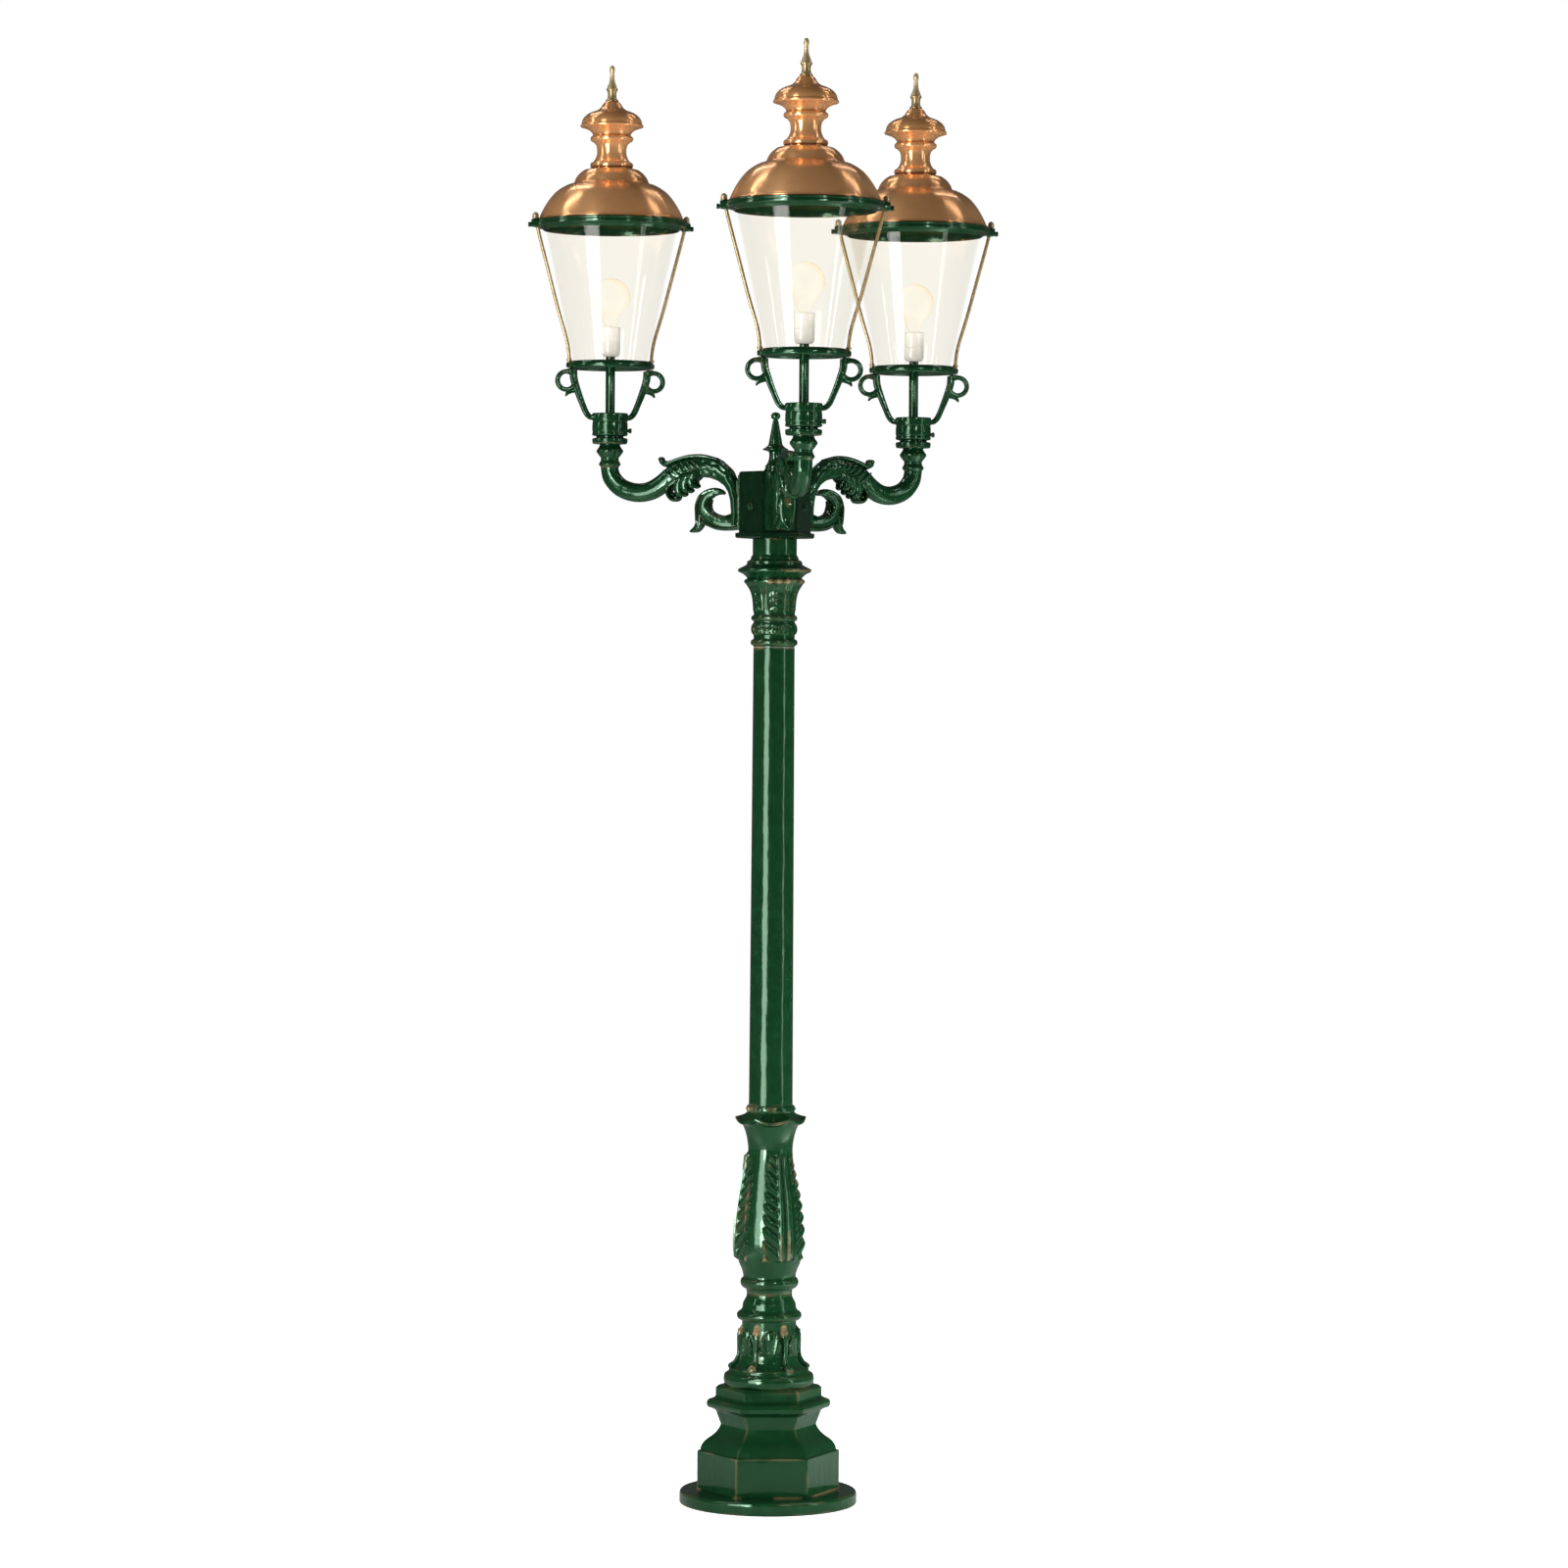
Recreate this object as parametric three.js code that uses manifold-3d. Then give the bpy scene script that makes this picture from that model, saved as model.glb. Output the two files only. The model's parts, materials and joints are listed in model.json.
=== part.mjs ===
// A cast street lamp: a hexagonal pedestal, an ornamental column, three arms on a hub,
// and a round glass lantern with a spun copper hood on each arm.
// Millimetres, +Z up. The origin is the centre of the base, on the ground.
import * as THREE from 'three';
import { mergeVertices } from 'three/addons/utils/BufferGeometryUtils.js';
import Module from 'manifold-3d';

const wasm = await Module();
wasm.setup();

// ---------------------------------------------------------------- driving dimensions

const GAP = 0.3; // clearance between pieces that touch on the real lamp
const COLUMN_FACETS = 20; // facets of a turned piece of the column
const LANTERN_FACETS = 16; // facets of a turned piece of a lantern
const SMALL_FACETS = 10; // facets of a pin or pipe
const SCREW_FACETS = 8;
const ROD_FACETS = 6;
const CURVE = 2; // steps along each curved stretch of a profile
const HEX = 6;

const ARM_ANGLES = { front: -90, right: 30, left: 150 }; // degrees about +Z
const LANTERN_YAW = { front: -5, right: -3, left: 7 }; // how each lantern is set on its arm
const PEDESTAL_TURN = -5.2; // the pedestal stands slightly turned from the arms
const ARM_REACH = 436; // column axis to lantern axis

const FLANGE_RADIUS = 216;
const FLANGE_TOP = 32;
const BOX_RADIUS = 173; // corner radius of the hexagonal box
const BOX_TOP = 127;
const PEDESTAL_TOP = 288;
const COLLAR_TOP = 511;
const BALUSTER_TOP = 968;
const SHAFT_TOP = 2079;
const CAPITAL_TOP = 2343;
const HUB_TOP = 2504;
const HUB_RADIUS = 88; // corner radius of the hexagonal hub
const CABLE_BORE = 42; // radius of the way up the column

const SPIGOT_RADIUS = 29; // the arm's upper end, inside the lantern's socket
const SPIGOT_TOP = 2632;
const SOCKET_BOTTOM = 2578;
const SOCKET_TOP = 2650;
const CONDUIT_RADIUS = 11.5;
const GALLERY_BOTTOM = 2757;
const GALLERY_TOP = 2776;
const GALLERY_RADIUS = 104;
const ROD_RADIUS = 4.3;
const ROD_FOOT = 104; // where a rod stands on the gallery, from the lantern's axis
const ROD_HEAD = 190; // where it passes through the top ring
const RING_SCREW_HEIGHT = 3106;
const SET_SCREW_HEIGHT = 2607;
const SET_SCREW_ANGLE = THREE.MathUtils.degToRad(-18);
const HOLDER_BOTTOM = GALLERY_TOP + 13;
const HOLDER_TOP = 2860;
const GLASS_TOP = 3100;
const GLASS_TOP_RADIUS = 162;
const RING_TOP = 3128;
const RING_RADIUS = 187;
const HOOD_TOP = 3246;
const CROWN_TOP = 3424;
const TOTAL_HEIGHT = 3500;
const BULB_CENTRE = 2933;
const BULB_RADIUS = 47.5;

const DOOR_WIDTH = 118;
const DOOR_HEIGHT = 74;
const DOOR_MIDDLE = 79; // height of the door's centre
const DOOR_THICKNESS = 4;
const HINGE_X = 67;
const KNUCKLE_HALF = 20 - GAP; // half the height of the door's hinge knuckle
const WALL = 12; // thickness of the pedestal's wall

const WALL_OUT = BOX_RADIUS * Math.cos(Math.PI / HEX); // outer face of the box
const HUB_FACE = HUB_RADIUS * Math.cos(Math.PI / HEX);
const HINGE_Y = WALL_OUT + 7.2;

// ---------------------------------------------------------------- materials

const paint = () => new THREE.MeshStandardMaterial({ color: 0x123c22, roughness: 0.28, metalness: 0.1 });
const copper = () => new THREE.MeshStandardMaterial({ color: 0xbe7d4b, roughness: 0.35, metalness: 1 });
const brass = () => new THREE.MeshStandardMaterial({ color: 0xb08d4e, roughness: 0.3, metalness: 1 });
const steel = () => new THREE.MeshStandardMaterial({ color: 0x9a9c9e, roughness: 0.35, metalness: 1 });
const glass = () =>
  new THREE.MeshStandardMaterial({ color: 0xf5f0e8, roughness: 0.05, transparent: true, opacity: 0.3 });
const opal = () => new THREE.MeshStandardMaterial({ color: 0xf3e3bd, roughness: 0.15 });
const ceramic = () => new THREE.MeshStandardMaterial({ color: 0xf0ede6, roughness: 0.3 });
const plastic = () => new THREE.MeshStandardMaterial({ color: 0x3a3d40, roughness: 0.6 });

// ---------------------------------------------------------------- solids

// Drops everything but the vertices, and turns the faces outward.
function closed(geometry) {
  const bare = geometry.clone();
  bare.deleteAttribute('normal');
  bare.deleteAttribute('uv');
  const merged = mergeVertices(bare, 1e-4);
  const place = merged.attributes.position;
  const index = Array.from(merged.index.array);
  const kept = [];
  const a = new THREE.Vector3();
  const b = new THREE.Vector3();
  const c = new THREE.Vector3();
  let volume = 0;
  for (let i = 0; i < index.length; i += 3) {
    const [i0, i1, i2] = index.slice(i, i + 3);
    if (i0 === i1 || i1 === i2 || i2 === i0) continue;
    a.fromBufferAttribute(place, i0);
    b.fromBufferAttribute(place, i1);
    c.fromBufferAttribute(place, i2);
    volume += a.dot(b.cross(c));
    kept.push(i0, i1, i2);
  }
  if (volume < 0) kept.reverse();
  merged.setIndex(kept);
  return merged;
}

function toManifold(geometry) {
  const solid = closed(geometry);
  const vertProperties = new Float32Array(solid.attributes.position.array);
  const triVerts = new Uint32Array(solid.index.array);
  return new wasm.Manifold(new wasm.Mesh({ numProp: 3, vertProperties, triVerts }));
}

function toGeometry(manifold) {
  const mesh = manifold.getMesh();
  const geometry = new THREE.BufferGeometry();
  geometry.setAttribute('position', new THREE.BufferAttribute(mesh.vertProperties, 3));
  geometry.setIndex(Array.from(mesh.triVerts));
  return geometry;
}

function join(first, ...others) {
  const solids = others.map(toManifold);
  return toGeometry(solids.reduce((sum, solid) => sum.add(solid), toManifold(first)));
}

function cut(first, ...others) {
  const solids = others.map(toManifold);
  return toGeometry(solids.reduce((rest, solid) => rest.subtract(solid), toManifold(first)));
}

// A profile turned about +Z. Its points are (radius, height).
function turned(path, facets, startAngle = 0) {
  const geometry = new THREE.LatheGeometry(path.getPoints(CURVE), facets);
  geometry.rotateX(Math.PI / 2);
  geometry.rotateZ(THREE.MathUtils.degToRad(startAngle));
  return geometry;
}

// Ends an outline that was drawn upward by going back down a bore of the given radius.
function bored(path, radius, bottom, top) {
  path.lineTo(radius, top);
  path.lineTo(radius, bottom);
  path.closePath();
  return path;
}

// A post or tube between two heights, solid when the inner radius is zero.
function tube(outer, inner, bottom, top, facets) {
  const path = new THREE.Path();
  path.moveTo(inner, bottom);
  path.lineTo(outer, bottom);
  path.lineTo(outer, top);
  path.lineTo(inner, top);
  if (inner > 0) path.closePath();
  return turned(path, facets);
}

// A rod of the given radius from the origin along +X, moved to a start point.
function rodAlongX(radius, length, start, facets = SMALL_FACETS) {
  const geometry = new THREE.CylinderGeometry(radius, radius, length, facets);
  geometry.rotateZ(-Math.PI / 2);
  geometry.translate(start.x + length / 2, start.y, start.z);
  return geometry;
}

function box(width, depth, height, x, y, z) {
  const geometry = new THREE.BoxGeometry(width, depth, height);
  geometry.translate(x, y, z);
  return geometry;
}

// A flat outline in the XZ plane, given its thickness along Y about the plane.
function plate(shape, thickness, curveSegments = CURVE) {
  const geometry = new THREE.ExtrudeGeometry(shape, {
    depth: thickness,
    bevelEnabled: false,
    curveSegments,
  });
  geometry.rotateX(Math.PI / 2);
  geometry.translate(0, thickness / 2, 0);
  return geometry;
}

// A round bar along a smooth curve in the XZ plane.
function bentBar(points, radius, steps, facets) {
  const curve = new THREE.CatmullRomCurve3(points.map(([x, z]) => new THREE.Vector3(x, 0, z)));
  const section = new THREE.Shape();
  for (let i = 0; i < facets; i += 1) {
    const angle = (2 * Math.PI * i) / facets;
    const x = radius * Math.cos(angle);
    const y = radius * Math.sin(angle);
    if (i === 0) section.moveTo(x, y);
    else section.lineTo(x, y);
  }
  return new THREE.ExtrudeGeometry(section, { steps, extrudePath: curve, bevelEnabled: false });
}

function mesh(name, geometry, material) {
  const solid = closed(geometry);
  solid.computeVertexNormals();
  const piece = new THREE.Mesh(solid, material);
  piece.name = name;
  return piece;
}

// ---------------------------------------------------------------- pedestal

function baseFlange() {
  const profile = new THREE.Path();
  profile.moveTo(0, 0);
  profile.lineTo(FLANGE_RADIUS, 0);
  profile.lineTo(FLANGE_RADIUS, FLANGE_TOP - 8);
  profile.lineTo(FLANGE_RADIUS - 6, FLANGE_TOP - GAP);
  profile.lineTo(0, FLANGE_TOP - GAP);
  const disc = turned(profile, 2 * COLUMN_FACETS);
  const cableEntry = tube(25, 0, -10, FLANGE_TOP + 10, SMALL_FACETS);
  cableEntry.translate(0, -70, 0);
  return cut(disc, cableEntry);
}

function pedestalShell() {
  const outline = new THREE.Path();
  const bottom = FLANGE_TOP;
  outline.moveTo(BOX_RADIUS - WALL, bottom);
  outline.lineTo(BOX_RADIUS, bottom);
  outline.lineTo(BOX_RADIUS, BOX_TOP);
  outline.lineTo(165, BOX_TOP + 2);
  outline.lineTo(164, 136);
  outline.quadraticCurveTo(150, 156, 116, 191); // sloping shoulder
  outline.lineTo(127, 219);
  outline.lineTo(141, 229);
  outline.quadraticCurveTo(158, 243, 141, 254); // nosing
  outline.lineTo(135, 256);
  outline.lineTo(129, 260);
  outline.lineTo(129, 281);
  outline.lineTo(120, PEDESTAL_TOP - GAP);
  outline.lineTo(CABLE_BORE, PEDESTAL_TOP - GAP);
  outline.lineTo(CABLE_BORE + 4, 262);
  outline.lineTo(100, 190);
  outline.lineTo(BOX_RADIUS - WALL, BOX_TOP - 8);
  outline.closePath();
  const shell = turned(outline, HEX, 30);
  const opening = box(DOOR_WIDTH - 20, 60, DOOR_HEIGHT - 20, 0, WALL_OUT, DOOR_MIDDLE);
  const lugHeight = 12;
  const lugOffset = 26;
  const lugs = [-1, 1].map((side) => {
    const z = DOOR_MIDDLE + side * lugOffset;
    const barrel = tube(5, 0, z - lugHeight / 2, z + lugHeight / 2, SMALL_FACETS);
    barrel.translate(HINGE_X, HINGE_Y, 0);
    const root = box(10, 10, lugHeight, HINGE_X, WALL_OUT + 1, z);
    return join(barrel, root);
  });
  const pinHole = tube(2.5 + GAP, 0, 20, 140, SMALL_FACETS);
  pinHole.translate(HINGE_X, HINGE_Y, 0);
  const solid = cut(join(cut(shell, opening), ...lugs), pinHole);
  return solid;
}

function serviceDoor() {
  const y = WALL_OUT + GAP + DOOR_THICKNESS / 2;
  const leaf = box(DOOR_WIDTH, DOOR_THICKNESS, DOOR_HEIGHT, 0, y, DOOR_MIDDLE);
  const reliefs = [-1, 1].map((side) => {
    const z = DOOR_MIDDLE + side * 36;
    return box(16, 20, 32, DOOR_WIDTH / 2 + 3, WALL_OUT, z); // room for the pedestal's lugs
  });
  const arm = box(12, DOOR_THICKNESS, 2 * KNUCKLE_HALF, HINGE_X - 6, y, DOOR_MIDDLE);
  const knuckle = tube(5, 0, DOOR_MIDDLE - KNUCKLE_HALF, DOOR_MIDDLE + KNUCKLE_HALF, SMALL_FACETS);
  knuckle.translate(HINGE_X, HINGE_Y, 0);
  const pinHole = tube(2.5 + GAP, 0, 20, 140, SMALL_FACETS);
  pinHole.translate(HINGE_X, HINGE_Y, 0);
  const screwHole = new THREE.CylinderGeometry(6 + 2 * GAP, 6 + 2 * GAP, 40, SMALL_FACETS);
  screwHole.translate(-DOOR_WIDTH / 2 + 16, WALL_OUT, DOOR_MIDDLE);
  return cut(join(cut(leaf, ...reliefs), arm, knuckle), pinHole, screwHole);
}

function doorHingePin() {
  const pin = tube(2.5, 0, DOOR_MIDDLE - 34, DOOR_MIDDLE + 34, SMALL_FACETS);
  pin.translate(HINGE_X, HINGE_Y, 0);
  return pin;
}

// A captive screw with a three-sided head, which a utility key turns.
function doorScrew() {
  const x = -DOOR_WIDTH / 2 + 16;
  const face = WALL_OUT + GAP + DOOR_THICKNESS;
  const shank = new THREE.CylinderGeometry(6, 6, 22, SMALL_FACETS);
  shank.translate(x, face - 10, DOOR_MIDDLE);
  const washer = new THREE.CylinderGeometry(9, 9, 2, SMALL_FACETS);
  washer.translate(x, face + GAP + 1, DOOR_MIDDLE);
  const head = new THREE.CylinderGeometry(6, 6, 6, 3);
  head.translate(x, face + GAP + 4, DOOR_MIDDLE);
  return join(shank, washer, head);
}

function terminalBox() {
  const body = box(84, 44, 54, 0, 60, FLANGE_TOP + GAP + 27);
  const lid = box(90, 8, 58, 0, 86, FLANGE_TOP + GAP + 29);
  return join(body, lid);
}

function buildPedestal() {
  const group = new THREE.Group();
  group.rotation.z = THREE.MathUtils.degToRad(PEDESTAL_TURN);
  group.add(mesh('base_flange', baseFlange(), paint()));
  group.add(mesh('pedestal', pedestalShell(), paint()));
  group.add(mesh('service_door', serviceDoor(), paint()));
  group.add(mesh('door_hinge_pin', doorHingePin(), steel()));
  group.add(mesh('door_screw', doorScrew(), steel()));
  group.add(mesh('terminal_box', terminalBox(), plastic()));
  return group;
}

// ---------------------------------------------------------------- column

function leafCollar() {
  const outline = new THREE.Path();
  outline.moveTo(CABLE_BORE, PEDESTAL_TOP);
  outline.lineTo(107, PEDESTAL_TOP);
  outline.quadraticCurveTo(111, 302, 107, 316); // plinth ring
  outline.lineTo(97, 322);
  outline.lineTo(98, 336);
  outline.lineTo(84, 358); // scroll feet
  outline.quadraticCurveTo(74, 386, 78, 404);
  outline.lineTo(70, 423);
  outline.lineTo(66, 436);
  outline.lineTo(66, 450);
  outline.quadraticCurveTo(92, 459, 70, 470); // ring
  outline.lineTo(64, 488);
  outline.lineTo(55, COLLAR_TOP - GAP);
  return bored(outline, CABLE_BORE, PEDESTAL_TOP, COLLAR_TOP - GAP);
}

function baluster() {
  const outline = new THREE.Path();
  outline.moveTo(CABLE_BORE, COLLAR_TOP);
  outline.lineTo(55, COLLAR_TOP);
  outline.lineTo(58, 524);
  outline.quadraticCurveTo(74, 536, 64, 548); // bead
  outline.lineTo(67, 554);
  outline.quadraticCurveTo(88, 604, 88, 638);
  outline.quadraticCurveTo(87, 706, 70, 776);
  outline.quadraticCurveTo(56, 838, 57, 872);
  outline.quadraticCurveTo(64, 911, 86, 936); // flared lip
  outline.lineTo(84, 940);
  outline.lineTo(60, 950);
  outline.lineTo(60, BALUSTER_TOP - GAP);
  return bored(outline, CABLE_BORE, COLLAR_TOP, BALUSTER_TOP - GAP);
}

function shaft() {
  const outline = new THREE.Path();
  outline.moveTo(CABLE_BORE, BALUSTER_TOP);
  outline.lineTo(53.5, BALUSTER_TOP);
  outline.lineTo(50, SHAFT_TOP - GAP);
  return bored(outline, CABLE_BORE, BALUSTER_TOP, SHAFT_TOP - GAP);
}

function capital() {
  const outline = new THREE.Path();
  outline.moveTo(CABLE_BORE, SHAFT_TOP);
  outline.lineTo(52, SHAFT_TOP);
  outline.quadraticCurveTo(64, 2090, 50, 2102); // lower bead
  outline.lineTo(50, 2112);
  outline.lineTo(55, 2118);
  outline.lineTo(55, 2134);
  outline.lineTo(50, 2141);
  outline.quadraticCurveTo(60, 2150, 50, 2159); // middle bead
  outline.lineTo(50, 2184);
  outline.quadraticCurveTo(53, 2220, 73, 2238); // bell
  outline.lineTo(70, 2252);
  outline.quadraticCurveTo(108, 2264, 72, 2277); // ring
  outline.lineTo(60, 2290);
  outline.lineTo(53.5, 2304);
  outline.lineTo(53.5, CAPITAL_TOP - GAP);
  return bored(outline, CABLE_BORE, SHAFT_TOP, CAPITAL_TOP - GAP);
}

function hub() {
  const outline = new THREE.Path();
  outline.moveTo(0, HUB_TOP);
  outline.lineTo(HUB_RADIUS - 3, HUB_TOP);
  outline.lineTo(HUB_RADIUS, HUB_TOP - 4);
  outline.lineTo(HUB_RADIUS, CAPITAL_TOP + 14);
  outline.lineTo(HUB_RADIUS + 9, CAPITAL_TOP + 12); // lip round the foot
  outline.lineTo(HUB_RADIUS + 9, CAPITAL_TOP + 3);
  outline.lineTo(HUB_RADIUS + 5, CAPITAL_TOP);
  outline.lineTo(CABLE_BORE, CAPITAL_TOP);
  outline.lineTo(CABLE_BORE, HUB_TOP - 16);
  outline.lineTo(0, HUB_TOP - 16);
  const shell = turned(outline, HEX, 30);
  const cableWays = Object.values(ARM_ANGLES).map((angle) => {
    const way = rodAlongX(11, 90, new THREE.Vector3(20, 0, CAPITAL_TOP + 60));
    way.rotateZ(THREE.MathUtils.degToRad(angle));
    return way;
  });
  return cut(shell, ...cableWays);
}

function hubFinial() {
  const outline = new THREE.Path();
  const bottom = HUB_TOP + GAP;
  outline.moveTo(0, bottom);
  outline.lineTo(27, bottom);
  outline.lineTo(25, bottom + 16);
  outline.quadraticCurveTo(14, bottom + 34, 15, bottom + 46);
  outline.lineTo(33, bottom + 56); // flange
  outline.lineTo(17, bottom + 62);
  outline.lineTo(6, bottom + 124);
  outline.absarc(0, bottom + 134, 9.5, -0.9, Math.PI / 2, false); // ball
  return turned(outline, SMALL_FACETS);
}

function buildColumn() {
  const group = new THREE.Group();
  group.add(mesh('leaf_collar', turned(leafCollar(), COLUMN_FACETS), paint()));
  group.add(mesh('baluster', turned(baluster(), COLUMN_FACETS), paint()));
  group.add(mesh('shaft', turned(shaft(), COLUMN_FACETS), paint()));
  group.add(mesh('capital', turned(capital(), COLUMN_FACETS), paint()));
  group.add(mesh('hub', hub(), paint()));
  group.add(mesh('hub_finial', hubFinial(), paint()));
  return group;
}

// ---------------------------------------------------------------- arms

// The arm's centre line, as distance from the column's axis and height.
const ARM_LINE = [
  [108, 2392],
  [108, 2430],
  [134, 2484],
  [193, 2511],
  [242, 2505],
  [287, 2484],
  [322, 2461],
  [362, 2453],
  [402, 2464],
  [430, 2494],
  [ARM_REACH, 2520],
  [ARM_REACH, 2536],
];

// The C-scroll under the arm: a ring that is open toward the hub, with a pointed toe.
function lowerScroll() {
  const outline = new THREE.Shape();
  const eye = { x: 138, z: 2422, radius: 26 };
  outline.moveTo(88, 2362);
  outline.lineTo(88, 2400);
  outline.lineTo(112, 2404);
  outline.absarc(eye.x, eye.z, eye.radius, 3.6, 2 * Math.PI + 1.75, false);
  outline.lineTo(130, 2452);
  outline.quadraticCurveTo(160, 2476, 198, 2446);
  outline.quadraticCurveTo(213, 2418, 203, 2380);
  outline.lineTo(223, 2363); // toe
  outline.lineTo(220, 2356);
  outline.lineTo(192, 2358);
  outline.quadraticCurveTo(180, 2373, 160, 2366);
  outline.lineTo(123, 2359);
  outline.closePath();
  return plate(outline, 38);
}

// The acanthus that wraps the arch and hangs below it.
function archLeaf() {
  const outline = new THREE.Shape();
  outline.moveTo(196, 2500);
  outline.lineTo(216, 2462);
  outline.lineTo(230, 2450);
  outline.lineTo(246, 2438);
  outline.quadraticCurveTo(262, 2424, 276, 2440);
  outline.lineTo(286, 2464);
  outline.lineTo(300, 2490);
  outline.lineTo(290, 2514);
  outline.lineTo(306, 2528); // curled tip
  outline.lineTo(298, 2538);
  outline.lineTo(276, 2522);
  outline.lineTo(230, 2526);
  outline.closePath();
  return plate(outline, 34);
}

// The turned end that carries the lantern, with its spigot.
function armEnd() {
  const outline = new THREE.Path();
  outline.moveTo(0, 2514);
  outline.lineTo(20, 2514);
  outline.quadraticCurveTo(32, 2527, 20, 2538); // lower bead
  outline.quadraticCurveTo(45, 2552, 26, 2564); // upper bead
  outline.lineTo(34, 2568);
  outline.lineTo(34, SOCKET_BOTTOM - GAP);
  outline.lineTo(SPIGOT_RADIUS, SOCKET_BOTTOM - GAP);
  outline.lineTo(SPIGOT_RADIUS, SPIGOT_TOP);
  outline.lineTo(0, SPIGOT_TOP);
  const end = turned(outline, LANTERN_FACETS);
  end.translate(ARM_REACH, 0, 0);
  return end;
}

function armCasting() {
  const bar = bentBar(ARM_LINE, 20, 18, SMALL_FACETS);
  const footHeight = HUB_TOP - CAPITAL_TOP - 20;
  const footMiddle = HUB_TOP - 2 - footHeight / 2;
  const pad = box(8, 72, footHeight, HUB_FACE + GAP + 4, 0, footMiddle);
  const foot = box(16, 44, footHeight - 8, HUB_FACE + GAP + 8, 0, footMiddle);
  const solid = join(bar, pad, foot, lowerScroll(), archLeaf(), armEnd());
  const cableWay = bentBar([...ARM_LINE.slice(1), [ARM_REACH, SPIGOT_TOP + 20]], 8, 16, ROD_FACETS);
  const footWay = rodAlongX(8, 60, new THREE.Vector3(60, 0, CAPITAL_TOP + 87), ROD_FACETS);
  return cut(solid, cableWay, footWay);
}

// ---------------------------------------------------------------- lantern

// One scrolled bracket, in the XZ plane, on the +X side.
function forkBracket() {
  const ringX = 110;
  const ringZ = 2730;
  const outline = new THREE.Shape();
  outline.moveTo(38, 2634);
  outline.quadraticCurveTo(62, 2634, 70, 2652);
  outline.lineTo(92, 2694);
  outline.lineTo(112, 2695); // small nib
  outline.lineTo(110, 2703.5);
  outline.absarc(ringX, ringZ, 26.5, -Math.PI / 2, Math.PI / 2 + 0.2, false);
  outline.lineTo(84, GALLERY_BOTTOM - GAP);
  outline.lineTo(58, 2660);
  outline.quadraticCurveTo(54, 2646, 38, 2646);
  outline.closePath();
  const eye = new THREE.Path();
  eye.absarc(ringX, ringZ, 16, 0, 2 * Math.PI, true);
  outline.holes.push(eye);
  return plate(outline, 14, 5);
}

function fork() {
  const outline = new THREE.Path();
  const bore = SPIGOT_RADIUS + 2 * GAP;
  outline.moveTo(bore, SOCKET_BOTTOM);
  outline.lineTo(45, SOCKET_BOTTOM);
  outline.lineTo(45, SOCKET_BOTTOM + 8);
  outline.lineTo(41, SOCKET_BOTTOM + 12);
  outline.lineTo(44, SOCKET_BOTTOM + 18);
  outline.lineTo(44, SOCKET_TOP - 34);
  outline.lineTo(42, SOCKET_TOP - 31);
  outline.lineTo(45, SOCKET_TOP - 27);
  outline.lineTo(45, SOCKET_TOP);
  outline.lineTo(CONDUIT_RADIUS + GAP, SOCKET_TOP);
  outline.lineTo(CONDUIT_RADIUS + GAP, SPIGOT_TOP + 3);
  outline.lineTo(bore, SPIGOT_TOP + 3);
  outline.closePath();
  const socket = turned(outline, LANTERN_FACETS);
  const right = forkBracket();
  const left = forkBracket();
  left.rotateZ(Math.PI);
  const screwHole = rodAlongX(4 + GAP, 40, new THREE.Vector3(20, 0, SET_SCREW_HEIGHT));
  screwHole.rotateZ(SET_SCREW_ANGLE);
  return cut(join(socket, right, left), screwHole);
}

function setScrew() {
  const tip = new THREE.Vector3(SPIGOT_RADIUS + 3 * GAP, 0, SET_SCREW_HEIGHT);
  const shank = rodAlongX(4, 18, tip, SCREW_FACETS);
  const head = rodAlongX(6, 7, new THREE.Vector3(46, 0, SET_SCREW_HEIGHT), HEX);
  const screw = join(shank, head);
  screw.rotateZ(SET_SCREW_ANGLE);
  return screw;
}

function conduit() {
  return tube(CONDUIT_RADIUS, 8, SPIGOT_TOP + 4, GALLERY_TOP + 12, SMALL_FACETS);
}

function lug(innerX, outerX, width, bottom, top) {
  return box(outerX - innerX, width, top - bottom, (innerX + outerX) / 2, 0, (bottom + top) / 2);
}

function gallery() {
  const outline = new THREE.Path();
  outline.moveTo(CONDUIT_RADIUS + GAP, GALLERY_BOTTOM + 5);
  outline.lineTo(84, GALLERY_BOTTOM + 5);
  outline.lineTo(88, GALLERY_BOTTOM);
  outline.quadraticCurveTo(GALLERY_RADIUS + 4, GALLERY_BOTTOM + 8, GALLERY_RADIUS - 4, GALLERY_TOP);
  outline.lineTo(GALLERY_RADIUS - 10, GALLERY_TOP);
  outline.lineTo(GALLERY_RADIUS - 10, GALLERY_BOTTOM + 10);
  outline.lineTo(CONDUIT_RADIUS + GAP, GALLERY_BOTTOM + 10);
  outline.closePath();
  const lugs = [lug(98, 112, 16, GALLERY_BOTTOM, GALLERY_TOP - 4)];
  lugs.push(lugs[0].clone().rotateZ(Math.PI));
  const rodHoles = [rodBar(ROD_RADIUS + GAP), rodBar(ROD_RADIUS + GAP, Math.PI)];
  return cut(join(turned(outline, LANTERN_FACETS), ...lugs), ...rodHoles);
}

function rodBar(radius, turn = 0) {
  const line = [
    [ROD_FOOT, GALLERY_BOTTOM + 1],
    [ROD_FOOT, 2790],
    [ROD_FOOT + 7, 2830],
    [ROD_FOOT + 28, 2900],
    [ROD_HEAD - 10, 3080],
    [ROD_HEAD, RING_TOP + 4],
  ];
  const bar = bentBar(line, radius, 7, ROD_FACETS);
  bar.rotateZ(turn);
  return bar;
}

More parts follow.
